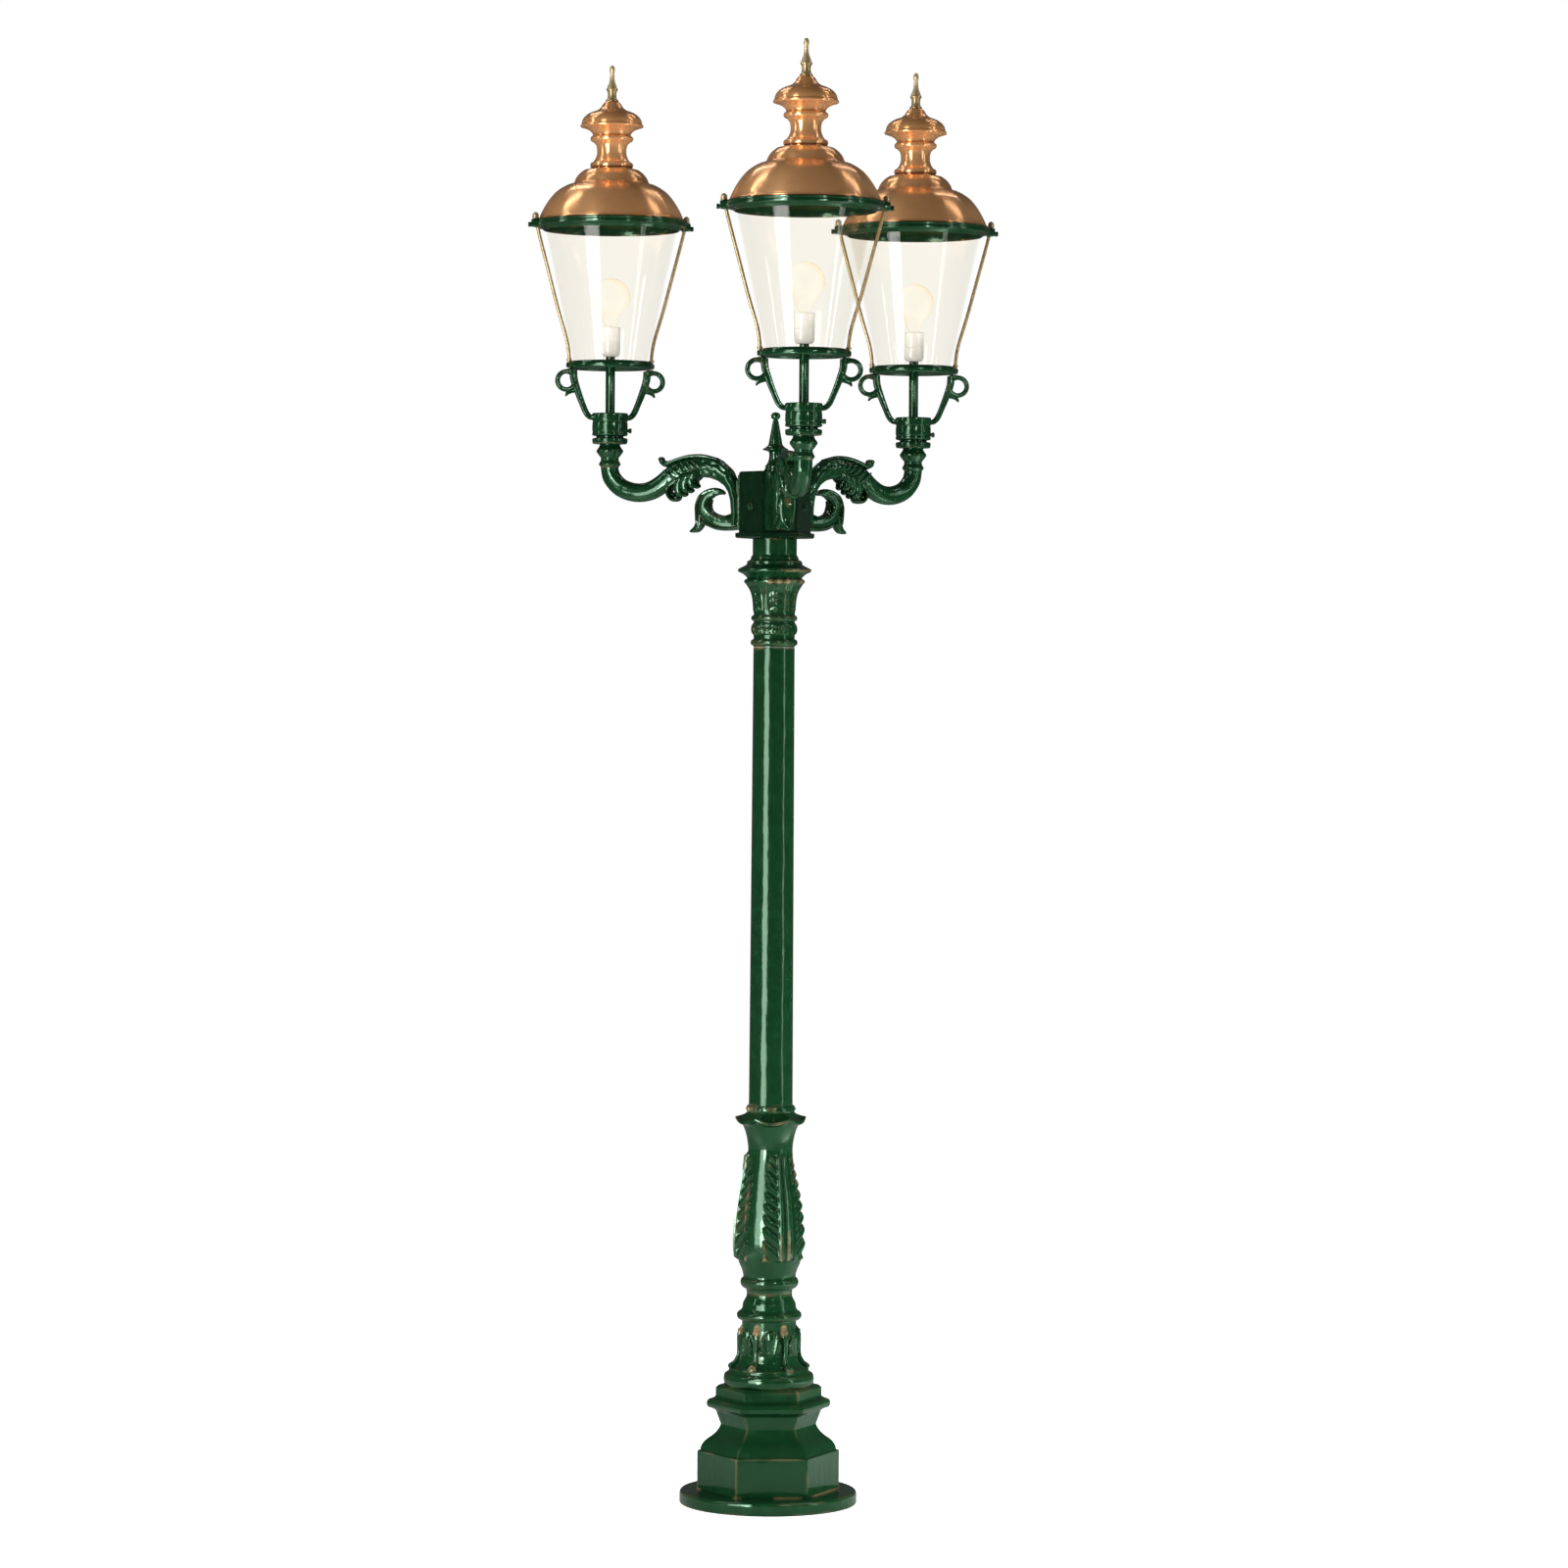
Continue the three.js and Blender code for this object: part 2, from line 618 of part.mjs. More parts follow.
// A brass rod with its domed head, which draws the ring down on the glass.
function tieRod(turn) {
  const head = new THREE.Path();
  const seat = RING_TOP + GAP;
  head.moveTo(0, seat);
  head.lineTo(8, seat);
  head.lineTo(8, seat + 7);
  head.quadraticCurveTo(7, seat + 14, 0, seat + 15);
  const dome = turned(head, SCREW_FACETS);
  dome.translate(ROD_HEAD, 0, 0);
  dome.rotateZ(turn);
  return join(rodBar(ROD_RADIUS, turn), dome);
}

function glassCone() {
  const wall = 4;
  const bottom = GALLERY_BOTTOM + 10 + GAP;
  const outline = new THREE.Path();
  outline.moveTo(91 - wall, bottom);
  outline.lineTo(91, bottom);
  outline.lineTo(GLASS_TOP_RADIUS, GLASS_TOP);
  outline.lineTo(GLASS_TOP_RADIUS - wall, GLASS_TOP);
  outline.closePath();
  return turned(outline, LANTERN_FACETS);
}

function topRing() {
  const outline = new THREE.Path();
  outline.moveTo(GLASS_TOP_RADIUS + 2, 3096);
  outline.lineTo(GLASS_TOP_RADIUS + 5, 3096);
  outline.lineTo(171, 3111);
  outline.lineTo(RING_RADIUS - 3, 3111);
  outline.lineTo(RING_RADIUS, 3116);
  outline.lineTo(RING_RADIUS, RING_TOP);
  outline.lineTo(168, RING_TOP);
  outline.lineTo(168, 3111);
  outline.closePath();
  const lugs = [lug(178, 200, 20, 3098, RING_TOP)];
  lugs.push(lugs[0].clone().rotateZ(Math.PI));
  const screwHole = rodAlongX(3 + GAP, 20, new THREE.Vector3(ROD_HEAD, 0, RING_SCREW_HEIGHT), SCREW_FACETS);
  const otherHole = screwHole.clone().rotateZ(Math.PI);
  const rodHoles = [rodBar(ROD_RADIUS + GAP), rodBar(ROD_RADIUS + GAP, Math.PI)];
  return cut(join(turned(outline, LANTERN_FACETS), ...lugs), ...rodHoles, screwHole, otherHole);
}

// The screw that locks a rod in its lug.
function ringScrew(turn) {
  const shank = rodAlongX(3, 10, new THREE.Vector3(ROD_HEAD + 4.5, 0, RING_SCREW_HEIGHT), SCREW_FACETS);
  const head = rodAlongX(6, 7, new THREE.Vector3(200 + GAP, 0, RING_SCREW_HEIGHT), SCREW_FACETS);
  const screw = join(shank, head);
  screw.rotateZ(turn);
  return screw;
}

function hood() {
  const outline = new THREE.Path();
  const seat = RING_TOP + GAP;
  outline.moveTo(166, 3112);
  outline.lineTo(166, seat);
  outline.lineTo(177, seat);
  outline.lineTo(178, seat + 4);
  outline.lineTo(173, seat + 9);
  outline.quadraticCurveTo(148, 3186, 104, 3209); // great dome
  outline.lineTo(91, 3214);
  outline.quadraticCurveTo(84, 3236, 66, HOOD_TOP); // small dome
  outline.lineTo(30, HOOD_TOP);
  outline.lineTo(30, HOOD_TOP - 4);
  outline.lineTo(62, HOOD_TOP - 4);
  outline.quadraticCurveTo(78, 3232, 86, 3209);
  outline.quadraticCurveTo(146, 3178, 164, 3136);
  outline.lineTo(163, 3112);
  outline.closePath();
  return turned(outline, LANTERN_FACETS);
}

function crown() {
  const outline = new THREE.Path();
  const bottom = HOOD_TOP + GAP;
  outline.moveTo(30, bottom);
  outline.lineTo(52, bottom);
  outline.quadraticCurveTo(60, 3255, 50, 3264); // bead
  outline.quadraticCurveTo(36, 3276, 38.5, 3290); // waist
  outline.quadraticCurveTo(40, 3304, 50, 3310);
  outline.quadraticCurveTo(62, 3320, 56, 3327);
  outline.lineTo(79, 3344); // rim
  outline.quadraticCurveTo(77, 3368, 56, 3383); // cap
  outline.lineTo(36, 3395);
  outline.quadraticCurveTo(22, 3404, 17, CROWN_TOP - 5);
  outline.lineTo(11, CROWN_TOP);
  outline.lineTo(5.3, CROWN_TOP);
  outline.lineTo(5.3, 3410);
  outline.lineTo(24, 3392);
  outline.lineTo(60, 3352);
  outline.lineTo(34, 3310);
  outline.closePath();
  return turned(outline, LANTERN_FACETS);
}

function finial() {
  const outline = new THREE.Path();
  outline.moveTo(0, 3414);
  outline.lineTo(5, 3414);
  outline.lineTo(5, CROWN_TOP + GAP);
  outline.lineTo(13, CROWN_TOP + GAP);
  outline.lineTo(9, 3434);
  outline.quadraticCurveTo(26, 3440, 10, 3448); // collar
  outline.lineTo(6.5, 3460);
  outline.quadraticCurveTo(14, 3482, 4, TOTAL_HEIGHT - 6); // teardrop
  outline.lineTo(0, TOTAL_HEIGHT);
  return turned(outline, SMALL_FACETS);
}

function lampholder() {
  const outline = new THREE.Path();
  outline.moveTo(8, HOLDER_BOTTOM);
  outline.lineTo(20, HOLDER_BOTTOM);
  outline.lineTo(24, HOLDER_BOTTOM + 8);
  outline.lineTo(24, HOLDER_TOP);
  outline.lineTo(14, HOLDER_TOP);
  outline.lineTo(14, HOLDER_TOP - 32);
  outline.lineTo(8, HOLDER_TOP - 32);
  outline.closePath();
  return turned(outline, LANTERN_FACETS);
}

function bulb() {
  const outline = new THREE.Path();
  outline.moveTo(0, HOLDER_TOP - 30);
  outline.lineTo(9, HOLDER_TOP - 30);
  outline.lineTo(13.2, HOLDER_TOP - 24);
  outline.lineTo(13.2, HOLDER_TOP + 2);
  outline.lineTo(19, HOLDER_TOP + 10);
  outline.quadraticCurveTo(22, BULB_CENTRE - 48, 32, BULB_CENTRE - 35);
  outline.absarc(0, BULB_CENTRE, BULB_RADIUS, -0.83, Math.PI / 2, false);
  return turned(outline, LANTERN_FACETS);
}

function buildLantern(side) {
  const group = new THREE.Group();
  const add = (piece, geometry, material) => group.add(mesh(`${piece}_${side}`, geometry, material));
  add('fork', fork(), paint());
  add('set_screw', setScrew(), paint());
  add('conduit', conduit(), paint());
  add('gallery', gallery(), paint());
  add('glass', glassCone(), glass());
  add('tie_rod_a', tieRod(0), brass());
  add('tie_rod_b', tieRod(Math.PI), brass());
  add('top_ring', topRing(), paint());
  add('ring_screw_a', ringScrew(0), paint());
  add('ring_screw_b', ringScrew(Math.PI), paint());
  add('hood', hood(), copper());
  add('crown', crown(), copper());
  add('finial', finial(), brass());
  add('lampholder', lampholder(), ceramic());
  add('bulb', bulb(), opal());
  return group;
}

function buildArm(side) {
  const direction = THREE.MathUtils.degToRad(ARM_ANGLES[side]);
  const group = new THREE.Group();
  group.rotation.z = direction;
  group.add(mesh(`arm_${side}`, armCasting(), paint()));
  const lantern = buildLantern(side);
  lantern.position.x = ARM_REACH;
  lantern.rotation.z = THREE.MathUtils.degToRad(LANTERN_YAW[side]) - direction;
  group.add(lantern);
  return group;
}

// ---------------------------------------------------------------- the whole lamp

const lamp = new THREE.Group();
lamp.add(buildPedestal());
lamp.add(buildColumn());
for (const side of Object.keys(ARM_ANGLES)) lamp.add(buildArm(side));

export default lamp;
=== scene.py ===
"""The looks of a three-arm street lamp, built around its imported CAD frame.

Places and turns come from the frame. Profiles are in millimetres: those of the column above the foot of
their own piece, those of the arms and lanterns above the ground.
"""
import json
import math

import bmesh
import bpy
import numpy as np
from mathutils import Matrix, Vector

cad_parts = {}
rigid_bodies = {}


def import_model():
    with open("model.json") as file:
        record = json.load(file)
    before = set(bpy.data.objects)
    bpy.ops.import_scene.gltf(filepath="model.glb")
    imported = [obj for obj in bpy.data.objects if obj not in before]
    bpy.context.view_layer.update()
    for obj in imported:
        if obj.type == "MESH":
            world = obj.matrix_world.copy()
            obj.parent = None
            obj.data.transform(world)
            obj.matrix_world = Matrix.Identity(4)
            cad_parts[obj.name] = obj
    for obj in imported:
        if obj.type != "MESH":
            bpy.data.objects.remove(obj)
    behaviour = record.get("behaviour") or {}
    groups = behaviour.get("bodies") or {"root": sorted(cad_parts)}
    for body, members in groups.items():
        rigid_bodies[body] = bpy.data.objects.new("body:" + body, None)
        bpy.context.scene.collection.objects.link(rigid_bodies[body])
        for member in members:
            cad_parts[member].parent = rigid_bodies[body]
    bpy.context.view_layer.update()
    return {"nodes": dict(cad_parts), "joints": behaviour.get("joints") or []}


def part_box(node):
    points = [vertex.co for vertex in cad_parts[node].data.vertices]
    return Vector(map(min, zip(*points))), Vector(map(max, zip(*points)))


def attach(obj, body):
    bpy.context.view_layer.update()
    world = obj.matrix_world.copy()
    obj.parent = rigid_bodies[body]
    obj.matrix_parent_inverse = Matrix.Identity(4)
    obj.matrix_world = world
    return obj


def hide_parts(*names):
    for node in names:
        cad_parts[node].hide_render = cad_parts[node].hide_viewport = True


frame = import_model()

MM = 0.001
SIDES = ("front", "right", "left")
CORNERS = 6  # of the pedestal and hub; consoles, rim points and bell leaves stand above the pedestal's
SHARP_DEGREES = 32  # edges sharper than this stay sharp in the shading
COLUMN_BORE = 42  # radius of the cable way up through the column's castings, in millimetres
BULB_CENTRE = 2933
BULB_RADIUS = 47.5
RING_TOP = 3119  # where the copper hood sits down on the lantern's top ring
JOINTS = {joint["name"]: joint for joint in frame["joints"]}
NODES = frame["nodes"]


# ---- places taken from the frame

def foot(node):
    """Height of a CAD node's lowest point, in millimetres."""
    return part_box(node)[0].z / MM


def top(node):
    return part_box(node)[1].z / MM


def middle(node):
    low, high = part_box(node)
    return (low + high) / 2


def lantern_axis(side):
    x, y, _ = JOINTS[f"lantern_{side}_swivel"]["pos_m"]
    return Vector((x, y, 0))


def arm_turn(side):
    axis = lantern_axis(side)
    return math.atan2(axis.y, axis.x)


def lantern_turn(side):
    reach = middle(f"ring_screw_a_{side}") - lantern_axis(side)
    return math.atan2(reach.y, reach.x)


ARM_REACH = lantern_axis("front").length / MM
KEY_AXIS = JOINTS["key_screw_turn"]["axis"]
PEDESTAL_TURN = math.atan2(KEY_AXIS[1], KEY_AXIS[0]) - math.pi / 2  # its corners are at this, plus 60, 120...
HUB_CORNER = 88  # from the hub's axis to its vertical edges, in millimetres
HUB_FACE = HUB_CORNER * math.cos(math.pi / CORNERS)


# ---- outlines

class Outline:
    """A profile drawn point by point: distance from the axis and height, in millimetres."""

    def __init__(self, radius, height):
        self.points = [(radius, height)]

    def line(self, radius, height):
        self.points.append((radius, height))
        return self

    def curve(self, control_radius, control_height, radius, height, steps=8):
        start_radius, start_height = self.points[-1]
        for step in range(1, steps + 1):
            t = step / steps
            a, b, c = (1 - t) ** 2, 2 * t * (1 - t), t * t
            self.points.append((
                a * start_radius + b * control_radius + c * radius,
                a * start_height + b * control_height + c * height,
            ))
        return self

    def bead(self, radius, height, depth, steps=10):
        """A half ellipse that stands out by depth on the right of the way travelled."""
        start_radius, start_height = self.points[-1]
        along = Vector((radius - start_radius, height - start_height))
        out = Vector((along.y, -along.x)).normalized()
        for step in range(1, steps + 1):
            angle = math.pi * step / steps
            point = Vector((start_radius, start_height)) + along * (1 - math.cos(angle)) / 2
            point += out * depth * math.sin(angle)
            self.points.append((point.x, point.y))
        return self


def rounded(points, radius, closed):
    """The same line with each sharp corner cut back and rounded."""
    count = len(points)
    line = []
    for i, point in enumerate(points):
        if not closed and i in (0, count - 1):
            line.append(point)
            continue
        here = Vector(point)
        back = Vector(points[i - 1]) - here
        ahead = Vector(points[(i + 1) % count]) - here
        if back.length < 1e-6 or ahead.length < 1e-6:
            continue
        turn = math.pi - back.angle(ahead)
        if turn < math.radians(24):
            line.append(point)
            continue
        cut = min(radius, 0.4 * back.length, 0.4 * ahead.length)
        first = here + back.normalized() * cut
        last = here + ahead.normalized() * cut
        for t in (0, 0.33, 0.67, 1):
            spot = first * (1 - t) ** 2 + here * 2 * t * (1 - t) + last * t * t
            line.append((spot.x, spot.y))
    return line


def resampled(points, step):
    """Adds points so that none are further apart than step."""
    line = [points[0]]
    for start, end in zip(points, points[1:]):
        length = math.dist(start, end)
        count = max(1, math.ceil(length / step))
        for i in range(1, count + 1):
            t = i / count
            line.append((start[0] + (end[0] - start[0]) * t, start[1] + (end[1] - start[1]) * t))
    return line


# ---- shapes: (vertices in metres, faces)

def grid_shape(grid, wrap_rows=False, cap=True):
    """A skin over rows of points. Each row is a ring; the end rings are capped unless the rows wrap."""
    rows, columns, _ = grid.shape
    faces = []
    for i in range(rows if wrap_rows else rows - 1):
        low = i * columns
        high = ((i + 1) % rows) * columns
        for j in range(columns):
            k = (j + 1) % columns
            faces.append((low + j, low + k, high + k, high + j))
    if cap and not wrap_rows:
        faces.append(tuple(range(columns - 1, -1, -1)))
        last = (rows - 1) * columns
        faces.append(tuple(range(last, last + columns)))
    return grid.reshape(-1, 3), faces


def revolve(outline, segments=96, relief=None, sag=None, closed=False, soften=1.0, step=None, turn=0.0):
    """An outline turned about Z.

    Functions of (angle, height) push the skin out (relief) or down (sag), in millimetres.
    """
    points = rounded(outline.points, soften, closed)
    if step:
        points = resampled(points, step)
    radius = np.array([p[0] for p in points])[:, None]
    height = np.array([p[1] for p in points])[:, None]
    angle = np.linspace(0, 2 * math.pi, segments, endpoint=False)[None, :]
    if relief:
        radius = radius + relief(angle, height)
    if sag:
        height = height - sag(angle, height)
    radius = radius + 0 * angle
    grid = np.stack([
        radius * np.cos(angle + turn),
        radius * np.sin(angle + turn),
        height + 0 * angle,
    ], axis=-1) * MM
    return grid_shape(grid, wrap_rows=closed, cap=False)


def smooth_line(points, count):
    """A Catmull-Rom line through the points, with count even steps."""
    p = np.array(points, float)
    p = np.vstack([2 * p[0] - p[1], p, 2 * p[-1] - p[-2]])
    line = []
    spans = len(points) - 1
    for i in range(count + 1):
        u = min(i / count * spans, spans - 1e-9)
        k = int(u)
        t = u - k
        a, b, c, d = p[k], p[k + 1], p[k + 2], p[k + 3]
        line.append(0.5 * (2 * b + (c - a) * t + (2 * a - 5 * b + 4 * c - d) * t * t
                           + (3 * b - a - 3 * c + d) * t ** 3))
    return np.array(line)


def sweep(points, depth, width, steps=40, sides=24, square=1.0, flutes=None):
    """A bar along a line of (x, y, z) in millimetres.

    depth and width are lists of half sizes along the line: in the upright plane, and across it.
    square under 1 makes the section boxier. flutes(t, angle) scales the section.
    """
    line = smooth_line([(*p, 0) if len(p) == 2 else p for p in points], steps)
    if len(points[0]) == 2:
        line = line[:, [0, 2, 1]]
    tangent = np.gradient(line, axis=0)
    tangent /= np.linalg.norm(tangent, axis=1)[:, None]
    across = np.array([0.0, 1.0, 0.0]) - tangent * tangent[:, 1:2]
    across /= np.linalg.norm(across, axis=1)[:, None]
    normal = np.cross(across, tangent)
    t = np.linspace(0, 1, steps + 1)
    half_depth = np.interp(t, np.linspace(0, 1, len(depth)), depth)[:, None]
    half_width = np.interp(t, np.linspace(0, 1, len(width)), width)[:, None]
    angle = np.linspace(0, 2 * math.pi, sides, endpoint=False)[None, :]
    c = np.sign(np.cos(angle)) * np.abs(np.cos(angle)) ** square
    s = np.sign(np.sin(angle)) * np.abs(np.sin(angle)) ** square
    scale = flutes(t[:, None], angle) if flutes else 1.0
    grid = line[:, None, :] + normal[:, None, :] * (half_depth * c * scale)[:, :, None]
    grid = grid + across[:, None, :] * (half_width * s * scale)[:, :, None]
    return grid_shape(grid * MM)


def ball(centre, radii, segments=12):
    """An ellipsoid with its centre and three radii in millimetres."""
    angle = np.linspace(0, 2 * math.pi, segments, endpoint=False)[None, :]
    rise = np.linspace(-math.pi / 2, math.pi / 2, segments // 2 + 1)[:, None]
    grid = np.stack([
        centre[0] + radii[0] * np.cos(rise) * np.cos(angle),
        centre[1] + radii[1] * np.cos(rise) * np.sin(angle),
        centre[2] + radii[2] * np.sin(rise) + 0 * angle,
    ], axis=-1) * MM
    return grid_shape(grid, cap=False)


def block(low, high):
    """A box between two corners in millimetres."""
    x0, y0, z0 = low
    x1, y1, z1 = high
    verts = np.array([(x, y, z) for z in (z0, z1) for y in (y0, y1) for x in (x0, x1)], float) * MM
    faces = [(0, 2, 3, 1), (4, 5, 7, 6), (0, 1, 5, 4), (2, 6, 7, 3), (0, 4, 6, 2), (1, 3, 7, 5)]
    return verts, faces


def moved(shape, matrix):
    verts, faces = shape
    turned = verts @ np.array(matrix.to_3x3()).T + np.array(matrix.translation)
    return turned, faces


def spun(shape, angle):
    return moved(shape, Matrix.Rotation(angle, 4, "Z"))


def together(*shapes):
    verts = []
    faces = []
    count = 0
    for shape_verts, shape_faces in shapes:
        verts.append(shape_verts)
        faces += [tuple(i + count for i in face) for face in shape_faces]
        count += len(shape_verts)
    return np.vstack(verts), faces


def round_about(shape, count, start=0.0):
    return together(*[spun(shape, start + 2 * math.pi * i / count) for i in range(count)])


def raised(outline, node):
    """Moves an outline drawn from height 0 up to the foot of a CAD node."""
    base = foot(node)
    outline.points = [(radius, height + base) for radius, height in outline.points]
    return outline


def mesh_from(name, shape, material):
    verts, faces = shape
    mesh = bpy.data.meshes.new(name)
    mesh.from_pydata([tuple(v) for v in verts], [], faces)
    work = bmesh.new()
    work.from_mesh(mesh)
    bmesh.ops.remove_doubles(work, verts=work.verts, dist=1e-6)
    bmesh.ops.dissolve_degenerate(work, edges=work.edges, dist=1e-7)
    bmesh.ops.recalc_face_normals(work, faces=work.faces)
    work.to_mesh(mesh)
    work.free()
    mesh.polygons.foreach_set("use_smooth", [True] * len(mesh.polygons))
    mesh.set_sharp_from_angle(angle=math.radians(SHARP_DEGREES))
    mesh.materials.append(material)
    return mesh


def piece(name, mesh, body, nodes=(), matrix=None):
    """Adds a mesh to the scene, in place, riding on a CAD body."""
    made = bpy.data.objects.new(name, mesh)
    bpy.context.scene.collection.objects.link(made)
    if matrix:
        made.matrix_world = matrix
    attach(made, body)
    if nodes:
        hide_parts(*nodes)
    return made


def casting(name, shape, material, *nodes):
    """A painted piece of the post."""
    return piece(name, mesh_from(name, shape, material), "post", nodes)


def eased(made, width):
    """Rounds the sharp edges of a piece."""
    bevel = made.modifiers.new("eased_edges", "BEVEL")
    bevel.width = width * MM
    bevel.segments = 2
    bevel.limit_method = "ANGLE"
    bevel.angle_limit = math.radians(38)
    bevel.harden_normals = True
    return made


# ---- materials

class Shader:
    """The node tree of a material or a world, with short names for the nodes used here."""

    def __init__(self, name, world=False):
        self.owner = (bpy.data.worlds if world else bpy.data.materials).new(name)
        self.owner.use_nodes = True
        self.tree = self.owner.node_tree
        self.tree.nodes.clear()
        self.output = self.tree.nodes.new("ShaderNodeOutputWorld" if world else "ShaderNodeOutputMaterial")
        self.where = self.tree.nodes.new("ShaderNodeTexCoord").outputs["Generated" if world else "Object"]

    def node(self, kind, **inputs):
        made = self.tree.nodes.new(kind)
        for key, value in inputs.items():
            self.feed(made.inputs[key.replace("_", " ")], value)
        return made

    def feed(self, socket, value):
        if isinstance(value, bpy.types.NodeSocket):
            self.tree.links.new(value, socket)
        else:
            socket.default_value = value

    def noise(self, scale, detail=4.0, stretch=(1, 1, 1)):
        mapping = self.node("ShaderNodeMapping", Vector=self.where, Scale=stretch)
        made = self.node("ShaderNodeTexNoise", Vector=mapping.outputs["Vector"], Scale=scale, Detail=detail)
        return made.outputs["Fac"]

    def ramp(self, value, low, high, start=(0, 0, 0, 1), end=(1, 1, 1, 1)):
        made = self.node("ShaderNodeValToRGB", Fac=value)
        made.color_ramp.elements[0].position = low
        made.color_ramp.elements[1].position = high
        made.color_ramp.elements[0].color = start
        made.color_ramp.elements[1].color = end
        return made.outputs["Color"]

    def math(self, operation, *values):
        made = self.tree.nodes.new("ShaderNodeMath")
        made.operation = operation
        for socket, value in zip(made.inputs, values):
            self.feed(socket, value)
        return made.outputs["Value"]

    def blend(self, share, a, b):
        made = self.tree.nodes.new("ShaderNodeMix")
        made.data_type = "RGBA"
        self.feed(made.inputs["Factor"], share)
        self.feed(made.inputs["A"], a)
        self.feed(made.inputs["B"], b)
        return made.outputs["Result"]

    def bump(self, height, distance, strength, normal=None):
        made = self.node("ShaderNodeBump", Height=height, Distance=distance, Strength=strength)
        if normal:
            self.feed(made.inputs["Normal"], normal)
        return made.outputs["Normal"]

    def mixed(self, share, a, b):
        """Two surface shaders, the second by its share."""
        made = self.node("ShaderNodeMixShader", Fac=share)
        self.feed(made.inputs[1], a)
        self.feed(made.inputs[2], b)
        return made.outputs["Shader"]

    def surface(self, shader):
        self.tree.links.new(shader, self.output.inputs["Surface"])
        return self.owner


def principled(shader, **inputs):
    made = shader.node("ShaderNodeBsdfPrincipled", **inputs)
    return made.outputs["BSDF"]


def hollows(shader, distance, inside):
    """Light where the surface is open, dark in hollows. Seen from inside, dark along proud edges."""
    made = shader.node("ShaderNodeAmbientOcclusion", Distance=distance)
    made.samples = 4
    made.inside = inside
    return made.outputs["AO"]


def green_paint(name, wear_share, wear_reach, depth=1.0):
    """Dark gloss enamel over cast metal, with painted shade in hollows, rubbed through in patches along proud
    edges.

    wear_reach is how far from an edge the wear spreads, in metres. depth over 1 darkens the whole colour:
    painted shade for a piece that sits in shadow.
    """
    s = Shader(name)
    # depth divides the colours: painted shade, where it is over 1.
    dark, light, speck = [
        (red / depth, green / depth, blue / depth, 1)
        for red, green, blue in ((0.0017, 0.0155, 0.0046), (0.0026, 0.022, 0.0066), (0.0036, 0.028, 0.0088))
    ]
    shade = s.blend(s.noise(5), dark, light)
    speckled = s.blend(s.ramp(s.noise(40), 0.45, 0.8), shade, speck)
    # Painted shade: the colour is blended toward near black green in hollows, where shade falls.
    hollow_shade_mask = s.ramp(hollows(s, 0.025, False), 0.15, 0.70)
    with_painted_shade = s.blend(hollow_shade_mask, (0.0010, 0.008, 0.0028, 1), speckled)
    proud = s.ramp(hollows(s, wear_reach, True), 0.50, 0.84, (1, 1, 1, 1), (0, 0, 0, 1))
    patches = s.ramp(s.noise(11), 0.48, 0.60)
    wear = s.math("MULTIPLY", s.math("MULTIPLY", proud, patches), wear_share)
    worn = s.blend(wear, with_painted_shade, (0.22, 0.14, 0.075, 1))
    cast = s.bump(s.noise(150, 3), 0.0005, 0.30)
    runs = s.bump(s.noise(34, 2, (1, 1, 0.35)), 0.004, 0.28, cast)
    roughness = s.math("MULTIPLY_ADD", s.noise(20), 0.12, 0.08)
    return s.surface(principled(
        s, Base_Color=worn, Roughness=roughness, Normal=runs, IOR=1.5, Specular_Tint=(0.58, 1.0, 0.68, 1),
        Coat_Weight=0.12, Coat_Roughness=0.03, Coat_Normal=runs,
    ))


def spun_metal(name, dark, light, tarnish, roughness, rings):
    """Metal turned on a lathe: fine rings round its axis, which draw highlights out along its slope.

    Tarnish is left where a cloth doesn't reach.
    """
    s = Shader(name)
    lathe_lines = s.noise(rings, 2, (0.02, 0.02, 1))
    cloud = s.noise(9, 5)
    colour = s.blend(s.ramp(cloud, 0.3, 0.72), dark, light)
    colour = s.blend(s.math("MULTIPLY", s.ramp(lathe_lines, 0.35, 0.7), 0.25), colour, dark)
    colour = s.blend(s.ramp(hollows(s, 0.03, False), 0.30, 0.88), tarnish, colour)
    rough = s.math("MULTIPLY_ADD", lathe_lines, 0.10, roughness - 0.05)
    tangent = s.tree.nodes.new("ShaderNodeTangent")
    tangent.direction_type = "RADIAL"
    tangent.axis = "Z"
    return s.surface(principled(
        s, Base_Color=colour, Metallic=0.70, Roughness=rough, Anisotropic=0.85, Anisotropic_Rotation=0.25,
        Tangent=tangent.outputs["Tangent"], Normal=s.bump(lathe_lines, 0.0002, 0.35),
    ))


def steel():
    s = Shader("zinc_steel")
    grain = s.noise(300, 2)
    rough = s.math("MULTIPLY_ADD", grain, 0.2, 0.25)
    colour = s.blend(s.noise(40), (0.45, 0.46, 0.47, 1), (0.66, 0.67, 0.68, 1))
    return s.surface(principled(
        s, Base_Color=colour, Metallic=1.0, Roughness=rough, Normal=s.bump(grain, 0.0002, 0.4),
    ))


def clear_glass():
    """Thin glass: it lets light straight through and mirrors a little of it, but not in shadows."""
    s = Shader("clear_glass")
    wave = s.bump(s.noise(7, 1), 0.002, 0.2)
    tint = s.blend(s.noise(3, 1), (0.996, 0.988, 0.964, 1), (0.998, 0.991, 0.969, 1))
    through = s.node("ShaderNodeBsdfTransparent", Color=tint)
    mirror = s.node("ShaderNodeBsdfGlossy", Color=(1, 1, 1, 1), Roughness=0.03, Normal=wave)
    fresnel = s.node("ShaderNodeFresnel", IOR=1.5, Normal=wave)
    gentle = s.math("MINIMUM", s.math("MULTIPLY", fresnel.outputs["Fac"], 0.42), 0.04)
    unlit = s.math("SUBTRACT", 1.0, s.node("ShaderNodeLightPath").outputs["Is Shadow Ray"])
    share = s.math("MULTIPLY", gentle, unlit)
    return s.surface(s.mixed(share, through.outputs["BSDF"], mirror.outputs["BSDF"]))


